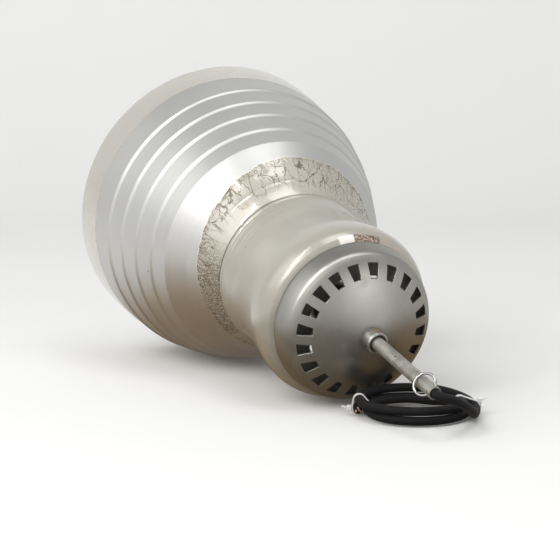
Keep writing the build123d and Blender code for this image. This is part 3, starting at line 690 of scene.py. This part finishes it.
def outside_profile():
    points = list(MOUTH)
    for radius, height in STEPS:
        points += [(radius + STEP_INSET / 2, height - STEP_RISE / 2),
                   (radius - STEP_INSET / 2, height + STEP_RISE / 2)]
    profile = smooth_profile(points + COLLAR + NECK, outside_smoothing, step=0.4)
    # faint ripples low on the neck, then a soft ridge round the collar
    height = profile[:, 1]
    fade = np.exp(-((height + 120.0) / 9.0) ** 2)
    profile[:, 0] += 0.16 * np.sin((height + 110.0) * 1.25) * fade
    profile[:, 0] += 0.28 * np.exp(-((height + 160.5) / 1.3) ** 2)
    return thin(profile, outside_gap)


def reflector():
    """Closed outline turned round the stem."""
    outside = outside_profile()
    inside = thin(smooth_profile(INSIDE, lambda point: 2.6, step=0.8), lambda point: 2.2)
    outline = [*outside, *TOP_LIP, *inside[::-1]]
    # material of each edge of the outline: 0 outside, 1 inside, 2 ground edge at the mouth
    edge_slots = [0] * (len(outside) + len(TOP_LIP)) + [1] * (len(inside) - 1) + [2]
    angles = np.arange(SHELL_SEGMENTS) * 2 * math.pi / SHELL_SEGMENTS
    verts = np.concatenate([circle(radius, height, angles) for radius, height in outline])
    faces, slots = [], []
    for row, slot in enumerate(edge_slots):
        for column in range(SHELL_SEGMENTS):
            faces.append(band_quad(row, (row + 1) % len(outline), column, SHELL_SEGMENTS))
            slots.append(slot)
    materials = [glass_outside(), glass_inside(), glass_edge()]
    return smooth_object("reflector_shell", verts, faces, materials, slots, sharp=60.0)


glass = reflector()
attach(glass, "fixture")
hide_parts("reflector_glass")

# ------------------------------------------------------------------ vented cap
# Profiles are (radius, height) in mm, the outer one from the foot up, the inner from the bore.
CAP_OUTER = [
    (82.2, 0.0), (82.3, 1.0), (82.1, 2.2), (81.2, 7.5), (80.1, 12.8), (79.2, 16.6), (78.5, 18.6),
    (77.4, 20.7), (75.6, 22.9), (73.2, 25.1), (70.0, 27.5), (66.4, 29.9), (62.0, 32.5),
    (56.0, 35.7), (50.0, 38.6), (43.0, 41.8), (36.0, 44.7), (29.0, 47.3), (22.0, 49.6),
    (16.0, 51.3), (11.5, 52.4), (8.52, 52.4)]
CAP_INNER = [
    (8.52, 49.9), (15.4, 48.8), (21.3, 47.2), (28.2, 44.9), (35.1, 42.3), (42.0, 39.5),
    (48.9, 36.4), (54.8, 33.5), (60.7, 30.3), (65.0, 27.8), (68.6, 25.4), (71.6, 23.1),
    (73.8, 21.1), (75.3, 19.3), (76.2, 17.4), (77.0, 14.6), (78.4, 8.0), (79.4, 2.4), (79.8, 0.0)]
VENTS = 20
VENT_PITCH = math.radians(360 / VENTS)
FIRST_VENT = math.radians(252.0)        # azimuth of its middle
VENT_START, VENT_END = 56.3, 70.2       # radii of the ends, mm
VENT_NARROW, VENT_WIDE = 7.4, 12.2      # widths at those radii, mm
VENT_ROWS = 12                          # rows of points along a vent
VENT_COLUMNS, WEB_COLUMNS = 8, 8        # faces across a vent and across the web beside it
INWARD_EASE, OUTWARD_EASE = 14.0, 8.0   # mm over which the columns spread out evenly


def vent_half_angle(radius):
    """Half the vent's angle at a radius, easing to even columns beyond its ends."""
    nearest = min(max(radius, VENT_START), VENT_END)
    along = (nearest - VENT_START) / (VENT_END - VENT_START)
    width = VENT_NARROW + (VENT_WIDE - VENT_NARROW) * along
    half = math.asin(width / 2 / nearest)
    ease = OUTWARD_EASE if radius > VENT_END else INWARD_EASE
    away = min(1.0, abs(radius - nearest) / ease)
    away = away * away * (3 - 2 * away)
    return half * (1 - away) + VENT_PITCH / 4 * away


def cap_angles(radius):
    half = vent_half_angle(radius)
    angles = []
    for vent in range(VENTS):
        middle = FIRST_VENT + VENT_PITCH * vent
        angles += [middle - half + 2 * half * i / VENT_COLUMNS for i in range(VENT_COLUMNS)]
        angles += [middle + half + (VENT_PITCH - 2 * half) * i / WEB_COLUMNS
                   for i in range(WEB_COLUMNS)]
    return np.array(angles)


def cap_rows(profile, gap):
    """(radius, height) rows from the foot to the bore, and the index of the first vent row."""
    foot = thin(profile[profile[:, 0] > VENT_END + 0.5], lambda point: gap)
    crown = thin(profile[profile[:, 0] < VENT_START - 0.5], lambda point: gap)
    rising = profile[np.argsort(profile[:, 0])]
    vented = [(radius, float(np.interp(radius, rising[:, 0], rising[:, 1])))
              for radius in np.linspace(VENT_END, VENT_START, VENT_ROWS)]
    return [*foot, *vented, *crown], len(foot)


def vented_cap():
    outer = smooth_profile(CAP_OUTER, lambda point: 1.1 if point[0] > 76 else 2.4, step=0.5)
    inner = smooth_profile(CAP_INNER[::-1], lambda point: 1.2 if point[0] > 73 else 2.4, step=0.5)
    outer_rows, outer_vent = cap_rows(outer, gap=0.9)
    inner_rows, inner_vent = cap_rows(inner, gap=1.5)
    rows = outer_rows + inner_rows
    first_inner = len(outer_rows)
    inner_vent += first_inner
    group = VENT_COLUMNS + WEB_COLUMNS
    count = VENTS * group
    verts = np.concatenate([circle(radius, height, cap_angles(radius))
                            for radius, height in rows])
    faces, slots = [], []       # slots: 0 outside, 1 inside, 2 cut edges of the vents

    def add(face, slot):
        faces.append(face)
        slots.append(slot)

    for slot, start, end, vent_row in ((0, 0, first_inner, outer_vent),
                                       (1, first_inner, len(rows), inner_vent)):
        for row in range(start, end - 1):
            vented = vent_row <= row < vent_row + VENT_ROWS - 1
            for column in range(count):
                if not (vented and column % group < VENT_COLUMNS):
                    add(band_quad(row, row + 1, column, count), slot)
    for column in range(count):
        add(band_quad(0, first_inner, column, count), 0)                    # foot
        add(band_quad(first_inner - 1, len(rows) - 1, column, count), 0)    # bore
    for side in range(0, count, group):
        for i in range(VENT_ROWS - 1):
            for column in (side, side + VENT_COLUMNS):
                add(((outer_vent + i) * count + column, (outer_vent + i + 1) * count + column,
                     (inner_vent + i + 1) * count + column, (inner_vent + i) * count + column), 2)
        for column in range(side, side + VENT_COLUMNS):
            for i in (0, VENT_ROWS - 1):
                add(band_quad(outer_vent + i, inner_vent + i, column, count), 2)

    cut = metal_finish("cut_aluminium", dark=(0.62, 0.61, 0.58), light=(0.74, 0.73, 0.70),
                       rough=0.34, scale=120.0, spot=(0.30, 0.27, 0.22))
    made = smooth_object("vented_cap", verts, faces, [cap_outside(), cap_inside(), cut], slots,
                         sharp=38.0)
    bevel = made.modifiers.new("edge", "BEVEL")
    bevel.width = 0.00022
    bevel.segments = 2
    bevel.limit_method = "ANGLE"
    bevel.angle_limit = math.radians(40)
    return made


cap = vented_cap()
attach(cap, "cap")
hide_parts("vent_cap")

# ------------------------------------------------------------------ suspension ring
RING_RADIUS, RING_WIRE = 11.0, 1.35     # mm, centre line and wire radius
RING_SEGMENTS, WIRE_SEGMENTS = 160, 28
RING_OFFSET = 10.05                     # mm from the ring's origin to its centre
RING_SWING = math.radians(90.0 + 157.6)  # turn about X


def suspension_ring():
    """Slightly uneven wire, pinched at a butt joint."""
    verts, faces = [], []
    for i in range(RING_SEGMENTS):
        turn = 2 * math.pi * i / RING_SEGMENTS
        joint = math.exp(-((turn - math.pi * 0.5) / 0.035) ** 2)
        wire = RING_WIRE * (0.972 + 0.010 * math.sin(5 * turn + 1.3) - 0.05 * joint)
        start = i * WIRE_SEGMENTS
        after = (i + 1) % RING_SEGMENTS * WIRE_SEGMENTS
        for j in range(WIRE_SEGMENTS):
            angle = 2 * math.pi * j / WIRE_SEGMENTS
            radius = RING_RADIUS + wire * math.cos(angle)
            verts.append((radius * math.cos(turn), radius * math.sin(turn) + RING_OFFSET,
                          wire * math.sin(angle)))
            k = (j + 1) % WIRE_SEGMENTS
            faces.append((start + j, after + j, after + k, start + k))
    cosine, sine = math.cos(RING_SWING), math.sin(RING_SWING)
    swing = np.array([[1, 0, 0], [0, cosine, -sine], [0, sine, cosine]])
    return smooth_object("suspension_ring", np.array(verts) @ swing.T, faces, [ring_plating()])


ring = suspension_ring()
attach(ring, "ring")
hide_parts("hanging_ring")

# ------------------------------------------------------------------ flex
# The coil lies in a plane close to the floor; its places are (along, across, above) in mm.
COIL_NORMAL_Z = -0.1997
COIL_NORMAL_XY = np.array([-0.746, -0.632]) / math.hypot(0.746, 0.632)
COIL_NORMAL = np.r_[COIL_NORMAL_XY * math.sqrt(1 - COIL_NORMAL_Z ** 2), COIL_NORMAL_Z]
COIL_ALONG = np.array([-0.6545, 0.6517, 0.3833])
COIL_ACROSS = np.array([-0.1126, 0.4172, -0.9018])
COIL_CENTRE = (59.8, -57.0)
COIL_BASE = -84.2 + 0.55            # the plane's place on its normal, and a small lift
LOW, HIGH = 5.8, 15.1               # heights of a turn on the floor and of one on top of it
COIL = np.array([                   # angle in degrees, radius, height above the plane
    (-14, 61.9, 6.2), (0, 61.6, 6.9), (30, 59.8, 10.6), (60, 56.5, 14.2), (90, 54.4, HIGH),
    (120, 54.0, HIGH), (150, 53.2, 14.9), (180, 52.2, 14.9), (210, 53.0, 14.9), (240, 54.0, HIGH),
    (270, 54.0, HIGH), (300, 53.8, HIGH), (320, 53.0, HIGH), (340, 50.6, 14.8), (360, 47.0, 13.2),
    (380, 43.4, 10.4), (400, 41.6, 7.6), (420, 41.6, LOW), (450, 44.3, LOW), (480, 44.9, LOW),
    (510, 44.8, LOW), (540, 44.4, LOW), (560, 45.4, LOW), (580, 48.6, LOW), (605, 52.6, LOW),
    (630, 54.0, LOW), (660, 54.0, LOW), (690, 53.4, LOW), (720, 52.4, LOW), (750, 51.5, LOW),
    (780, 51.9, LOW), (810, 53.8, LOW), (840, 54.2, LOW), (870, 54.0, LOW), (890, 53.8, LOW),
    (905, 53.8, LOW)])
COIL_POINTS = 95
STEM_TOP = np.array([0, 0, CAP_FOOT_Z + 189.0])     # where the flex starts to bend
BEND_RADIUS = 8.5
BEND_TOWARD = np.array([-math.sin(math.radians(25.0)), math.cos(math.radians(25.0)), 0])
LEAD_OUT, LEAD_IN = 30.0, 26.0      # mm, handles of the free curve from bend to coil
FLEX_RADIUS, FLEX_SEGMENTS = 4.46, 28
FLEX_STEP = 1.1                     # mm between rows of points
FLEX_UNEVENNESS = 0.03              # mm, scale of the random changes in radius
BRAID_PITCH = 2.36                  # mm of flex for one unit of u


def unit(vector):
    return vector / np.linalg.norm(vector)


def run_lengths(points):
    return np.r_[0, np.cumsum(np.linalg.norm(np.diff(points, axis=0), axis=1))]


def coil_point(angle):
    """Point of the coil at an angle, by cubic interpolation of the table."""
    angles, values = COIL[:, 0], COIL[:, 1:]
    i = min(int(np.searchsorted(angles, angle, side="right")) - 1, len(COIL) - 2)

    def slope(k):
        before, after = max(k - 1, 0), min(k + 1, len(COIL) - 1)
        return (values[after] - values[before]) / (angles[after] - angles[before])

    span = angles[i + 1] - angles[i]
    f = (angle - angles[i]) / span
    radius, height = ((2 * f ** 3 - 3 * f ** 2 + 1) * values[i]
                      + (f ** 3 - 2 * f ** 2 + f) * span * slope(i)
                      + (-2 * f ** 3 + 3 * f ** 2) * values[i + 1]
                      + (f ** 3 - f ** 2) * span * slope(i + 1))
    turn = math.radians(angle)
    return ((COIL_CENTRE[0] + radius * math.cos(turn)) * COIL_ALONG
            + (COIL_CENTRE[1] + radius * math.sin(turn)) * COIL_ACROSS
            + (COIL_BASE + height) * COIL_NORMAL + np.array([0, 0, CAP_FOOT_Z]))


def flex_guide():
    """Points out of the stem, round a tight bend, across to the coil and round it."""
    axis = np.array([0, 0, 1.0])
    points = [np.array([0, 0, CAP_FOOT_Z + height]) for height in (184.8, 186.9)]
    for degrees in range(0, 91, 15):
        turn = math.radians(degrees)
        points.append(STEM_TOP + BEND_TOWARD * (BEND_RADIUS * (1 - math.cos(turn)))
                      + axis * (BEND_RADIUS * math.sin(turn)))
    first, last = COIL[0, 0], COIL[-1, 0]
    start = STEM_TOP + (BEND_TOWARD + axis) * BEND_RADIUS
    end = coil_point(first)
    start_handle = start + BEND_TOWARD * LEAD_OUT
    end_handle = end - unit(coil_point(first + 2) - end) * LEAD_IN
    for k in range(1, 12):
        f = k / 12
        points.append(start * (1 - f) ** 3 + start_handle * (3 * f * (1 - f) ** 2)
                      + end_handle * (3 * f * f * (1 - f)) + end * f ** 3)
    for k in range(COIL_POINTS):
        points.append(coil_point(first + (last - first) * k / (COIL_POINTS - 1)))
    return np.array(points)


def spline_samples(points, step):
    """Natural cubic spline through the points, sampled every `step` of chord length."""
    knots = run_lengths(points)
    gaps = np.diff(knots)
    count = len(points)
    system, target = np.eye(count), np.zeros((count, 3))
    for i in range(1, count - 1):
        system[i, i - 1:i + 2] = gaps[i - 1], 2 * (gaps[i - 1] + gaps[i]), gaps[i]
        target[i] = 6 * ((points[i + 1] - points[i]) / gaps[i]
                         - (points[i] - points[i - 1]) / gaps[i - 1])
    curve = np.linalg.solve(system, target)     # second derivatives at the knots

    def sample(run):
        i = min(max(int(np.searchsorted(knots, run) - 1), 0), count - 2)
        ahead, behind, gap = knots[i + 1] - run, run - knots[i], gaps[i]
        return ((curve[i] * ahead ** 3 + curve[i + 1] * behind ** 3) / (6 * gap)
                + (points[i] / gap - curve[i] * gap / 6) * ahead
                + (points[i + 1] / gap - curve[i + 1] * gap / 6) * behind)

    return np.array([sample(run) for run in np.r_[np.arange(0, knots[-1], step), knots[-1]]])


def braided_flex(line, tangents):
    """Tube along the line, with slightly domed cut ends and UVs for the braid."""
    random = np.random.RandomState(7)
    swell = np.convolve(random.randn(len(line) + 40), np.ones(25) / 25, "same")[:len(line)]
    radii = FLEX_RADIUS + swell * FLEX_UNEVENNESS
    # carry one normal along the line so that the tube doesn't twist
    side = unit(np.cross(tangents[0], np.array([1.0, 0, 0])))
    verts = []
    for point, tangent, radius in zip(line, tangents, radii):
        side = unit(side - tangent * float(side @ tangent))
        other = np.cross(tangent, side)
        for j in range(FLEX_SEGMENTS):
            turn = 2 * math.pi * j / FLEX_SEGMENTS
            verts.append(point + (side * math.cos(turn) + other * math.sin(turn)) * radius)
    faces, uv = [], []
    along = run_lengths(line) / BRAID_PITCH
    around = [j / FLEX_SEGMENTS for j in range(FLEX_SEGMENTS + 1)]
    for i in range(len(line) - 1):
        for j in range(FLEX_SEGMENTS):
            faces.append(band_quad(i, i + 1, j, FLEX_SEGMENTS))
            uv += [(along[i], around[j]), (along[i], around[j + 1]),
                   (along[i + 1], around[j + 1]), (along[i + 1], around[j])]
    for row, outward in ((0, -1), (len(line) - 1, 1)):
        tip = len(verts)
        verts.append(line[row] + tangents[row] * 0.15 * outward)
        for j in range(FLEX_SEGMENTS):
            start, end = band_quad(row, row, j, FLEX_SEGMENTS)[:2]
            faces.append((start, end, tip))
            uv += [(along[row], around[j]), (along[row], around[j + 1]),
                   (along[row], (j + 0.5) / FLEX_SEGMENTS)]
    return smooth_object("braided_flex", verts, faces, [braid()], uv=uv, sharp=60.0)


flex_line = spline_samples(flex_guide(), FLEX_STEP)
flex_tangents = np.gradient(flex_line, axis=0)
flex_tangents /= np.linalg.norm(flex_tangents, axis=1)[:, None]
cable = braided_flex(flex_line, flex_tangents)
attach(cable, "fixture")
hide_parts("supply_cable")


# ------------------------------------------------------------------ finishes of the CAD pieces
def cad_finishes():
    zinc = metal_finish("zinc_steel", dark=(0.50, 0.50, 0.47), light=(0.64, 0.63, 0.60),
                        rough=0.36, scale=90.0, spot=(0.34, 0.30, 0.24))
    bronze = metal_finish("dark_bronze", dark=(0.10, 0.075, 0.045), light=(0.20, 0.15, 0.085),
                          rough=0.42, scale=80.0, spot=(0.07, 0.055, 0.04))
    # painted shade with dust patches: the carrier plate seen through the vents is dark grey so
    # the vents look dark
    dust_and_shade = metal_finish("plate_dust_and_shade", dark=(0.15, 0.145, 0.13), light=(0.27, 0.26, 0.235),
                         rough=0.55, metal=0.4, scale=70.0, spot=(0.26, 0.245, 0.22))
    brass = metal_finish("aged_brass", dark=(0.55, 0.41, 0.19), light=(0.70, 0.55, 0.29),
                         rough=0.30, scale=80.0, spot=(0.30, 0.20, 0.09))
    turned = metal_finish("turned_aluminium", dark=(0.50, 0.49, 0.455),
                          light=(0.58, 0.57, 0.535), rough=0.33, scale=60.0,
                          spot=(0.42, 0.385, 0.33), stretch=(40.0, 40.0, 1500.0))
    rusted = metal_finish("rusted_steel", dark=(0.26, 0.13, 0.08), light=(0.42, 0.27, 0.20),
                          rough=0.55, metal=0.35, scale=420.0, spot=(0.70, 0.62, 0.55),
                          relief=0.0003)
    tungsten = metal_finish("tungsten", dark=(0.22, 0.22, 0.23), light=(0.36, 0.36, 0.38),
                            rough=0.38, scale=900.0, spot=None)
    nickel = metal_finish("nickel_wire", dark=(0.50, 0.49, 0.46), light=(0.68, 0.67, 0.64),
                          rough=0.28, scale=700.0, spot=None)
    nylon = plain_finish("white_nylon", dark=(0.88, 0.88, 0.87), light=(0.95, 0.95, 0.94),
                         rough=0.34, scale=150.0, grime_and_shade=(0.80, 0.79, 0.77),
                         Subsurface_Weight=0.10, Subsurface_Radius=(0.001, 0.001, 0.001))
    fibre = plain_finish("pressed_fibre", dark=(0.40, 0.34, 0.26), light=(0.58, 0.51, 0.41),
                         rough=0.8, scale=120.0, relief=0.0004, Specular_IOR_Level=0.2)
    porcelain = plain_finish("glazed_porcelain", dark=(0.82, 0.81, 0.76),
                             light=(0.90, 0.89, 0.85), rough=0.16, scale=22.0, relief=0.0002,
                             grime_and_shade=(0.70, 0.66, 0.56), Coat_Weight=0.8)
    brown = plain_finish("core_brown", dark=(0.13, 0.055, 0.025), light=(0.20, 0.085, 0.04),
                         rough=0.42, scale=200.0)
    blue = plain_finish("core_blue", dark=(0.03, 0.11, 0.36), light=(0.05, 0.16, 0.46),
                        rough=0.42, scale=200.0)
    green = plain_finish("core_green", dark=(0.08, 0.28, 0.05), light=(0.62, 0.60, 0.08),
                         rough=0.42, scale=90.0)
    black = plain_finish("vitreous_black", dark=(0.012, 0.012, 0.012), light=(0.03, 0.03, 0.03),
                         rough=0.18, scale=90.0, Coat_Weight=0.6)
    tail = flex_tangents[-1]
    cores = stripped_cores(direction=tail, start=float((flex_line[-1] / 1000.0) @ tail))
    return {
        "cap_hub": turned, "hub_set_screw": rusted, "stem_tube": stem_finish(),
        "cable_ties": nylon, "flex_tail_cores": cores,
        "glass_gasket": fibre, "spider_pads": fibre, "carrier_plate": dust_and_shade,
        "clamp_spider": zinc, "stem_locknuts": zinc, "stem_washers": zinc,
        "earth_screw": brass, "terminal_screws": brass, "holder_cap": bronze,
        "holder_body": porcelain, "holder_shell": brass, "holder_contact": brass,
        "holder_terminals": brass, "core_live": brown, "core_neutral": blue,
        "core_earth": green, "bulb_glass": bulb_finish("bulb_glass_clear"), "bulb_cap": zinc,
        "bulb_insulator": black, "bulb_contact": zinc,
        "bulb_mount": bulb_finish("bulb_mount_glass", haze=0.22),
        "bulb_filament": tungsten, "bulb_support_wires": nickel,
    }


for node_name, material in cad_finishes().items():
    mesh = nodes[node_name].data
    mesh.materials.clear()
    mesh.materials.append(material)
    mesh.polygons.foreach_set("material_index", np.zeros(len(mesh.polygons), np.int32))

# ------------------------------------------------------------------ stage (metres)
CAMERA_PLACE = Vector((0.0, -1.0944, 1.4924))
CAMERA_RIGHT = Vector((-0.65755624, 0.64912696, 0.38243168))
CAMERA_UP = Vector((-0.75336092, -0.5609913, -0.34312691))
CAMERA_BACK = Vector((-0.00819208, -0.51373432, 0.85791022))
CAMERA_LENS = 128.571429    # mm, on a sensor 36 mm wide
AWAY = (UP * CAMERA_BACK.dot(UP) - CAMERA_BACK).normalized()    # level, away from the camera
SIDE = AWAY.cross(UP).normalized()                              # level, to the camera's right
SWEEP_HALF_WIDTH = 7.0
SWEEP_BEND_START, SWEEP_BEND_RADIUS = 1.6, 1.2
SWEEP_WALL = SWEEP_BEND_START + SWEEP_BEND_RADIUS

bpy.context.view_layer.update()
# The floor lies 0.1 mm below the lowest point of the pieces that rest on it.
FLOOR_LEVEL = min((piece.matrix_world @ vert.co).dot(UP)
                  for piece in (glass, cable, nodes["cable_ties"])
                  for vert in piece.data.vertices) - 0.0001
LAMP_MIDDLE = Vector((0, 0, -0.25))
FLOOR_CENTRE = LAMP_MIDDLE - UP * (LAMP_MIDDLE.dot(UP) - FLOOR_LEVEL)


def sweep_material():
    """Pale to the camera; to other rays, brown near the lamp so its reflections are warm."""
    mat = Shader("pale_sweep")
    place, backfacing = mat.outputs("NewGeometry", ("Position", "Backfacing"), {})
    seen, shadow = mat.outputs("LightPath", ("Is Camera Ray", "Is Shadow Ray"), {})
    mottle = mat.value("TexNoise", {"Scale": 3.0})
    colour = mat.mix(mottle, (0.80, 0.80, 0.79), (0.83, 0.83, 0.82))
    colour = mat.mix(seen, colour, mat.mix(mottle, (0.915, 0.915, 0.905), (0.94, 0.94, 0.93)))
    away = mat.distance(place, FLOOR_CENTRE + SIDE * 0.03 - AWAY * 0.02)
    warm = away.ramp(zero=0.56, one=0.32) * (1.0 - seen)
    front = (mat.along(AWAY, place) - FLOOR_CENTRE.dot(AWAY)).ramp(zero=-0.04, one=-0.16)
    colour = mat.mix(warm, colour, mat.mix(front, (0.25, 0.155, 0.06), (0.165, 0.142, 0.105)))
    paper = mat.surface(colour, rough=0.85, Specular_IOR_Level=0.15)
    # lets light through from behind and casts no shadow
    clear = mat.maximum(backfacing, shadow)
    return mat.finish(mat.mix_surfaces(clear, paper, mat.transparent()))


def sweep():
    """Floor that curves up into a wall beyond the lamp."""
    profile = [(-7.0, 0.0), (-3.0, 0.0), (0.0, 0.0), (SWEEP_BEND_START, 0.0)]   # away, up
    for k in range(1, 25):
        turn = math.pi / 2 * k / 24
        profile.append((SWEEP_BEND_START + SWEEP_BEND_RADIUS * math.sin(turn),
                        SWEEP_BEND_RADIUS * (1 - math.cos(turn))))
    profile += [(SWEEP_WALL, 3.0), (SWEEP_WALL, 6.0)]
    verts = [tuple(FLOOR_CENTRE + AWAY * away + SIDE * side + UP * rise)
             for away, rise in profile for side in (-SWEEP_HALF_WIDTH, SWEEP_HALF_WIDTH)]
    faces = [(2 * i, 2 * i + 1, 2 * i + 3, 2 * i + 2) for i in range(len(profile) - 1)]
    mesh = bpy.data.meshes.new("sweep")
    mesh.from_pydata(verts, [], faces)
    mesh.materials.append(sweep_material())
    mesh.shade_smooth()
    return new_object("sweep", mesh)


sweep()


def studio_world():
    """Soft grey surround, brighter near the horizon than overhead."""
    world = bpy.data.worlds.new("studio")
    bpy.context.scene.world = world
    world.use_nodes = True
    tree = world.node_tree
    direction = tree.nodes.new("ShaderNodeTexCoord")
    rise = tree.nodes.new("ShaderNodeVectorMath")
    rise.operation = "DOT_PRODUCT"
    rise.inputs[1].default_value = tuple(UP)
    strength = tree.nodes.new("ShaderNodeMapRange")
    strength.interpolation_type = "SMOOTHSTEP"
    ends = {"From Min": 0.1, "From Max": 0.95, "To Min": 0.70, "To Max": 0.34}
    for key, value in ends.items():
        strength.inputs[key].default_value = value
    background = tree.nodes["Background"]
    background.inputs["Color"].default_value = (0.95, 0.955, 0.96, 1)
    tree.links.new(direction.outputs["Generated"], rise.inputs[0])
    tree.links.new(rise.outputs["Value"], strength.inputs[0])
    tree.links.new(strength.outputs[0], background.inputs["Strength"])


studio_world()

LIGHT_TARGET = Vector((0.0, 0.0, -0.32))
WINDOW = (1.0, 0.99, 0.97)
SOFT = (1.0, 0.995, 0.985)
LIGHTS = [
    # name, elevation and azimuth in degrees (0 away from the camera, + to its right),
    # distance, width, height in metres, power in watts, colour
    ("window_a", 40, -137, 2.8, 0.05, 2.3, 10, WINDOW),
    ("window_b", 40, -144, 2.8, 0.05, 2.3, 10, WINDOW),
    ("room", 34, -145, 3.4, 3.0, 2.6, 23, SOFT),
    ("left", 34, -100, 3.2, 2.2, 2.2, 13, SOFT),
    ("low_right", 14, 140, 3.0, 1.3, 1.0, 6, (0.99, 0.995, 1.0)),
    ("under", -50, 25, 3.0, 2.4, 2.4, 16, SOFT),
    ("top", 70, 140, 3.0, 1.5, 1.5, 17, (0.98, 0.99, 1.0)),
]


def aim(thing, right, up, back):
    thing.rotation_mode = "QUATERNION"
    thing.rotation_quaternion = Matrix((right, up, back)).transposed().to_quaternion()


for name, elevation, azimuth, distance, width, height, power, colour in LIGHTS:
    elevation, azimuth = math.radians(elevation), math.radians(azimuth)
    outward = (AWAY * (math.cos(elevation) * math.cos(azimuth))
               + SIDE * (math.cos(elevation) * math.sin(azimuth)) + UP * math.sin(elevation))
    light = bpy.data.lights.new(name, "AREA")
    light.shape = "RECTANGLE"
    light.size = width
    light.size_y = height
    light.energy = power
    light.color = colour
    lamp = new_object(name, light)
    lamp.location = LIGHT_TARGET + outward * distance
    across = UP.cross(outward).normalized()
    aim(lamp, across, outward.cross(across), outward)

lens = bpy.data.cameras.new("camera")
lens.sensor_width = 36.0
lens.lens = CAMERA_LENS
lens.clip_start = 0.05
lens.clip_end = 200
camera = new_object("camera", lens)
aim(camera, CAMERA_RIGHT, CAMERA_UP, CAMERA_BACK)
camera.location = CAMERA_PLACE
bpy.context.scene.camera = camera
bpy.context.scene.view_settings.view_transform = "Standard"
bpy.context.scene.view_settings.exposure = 0.14
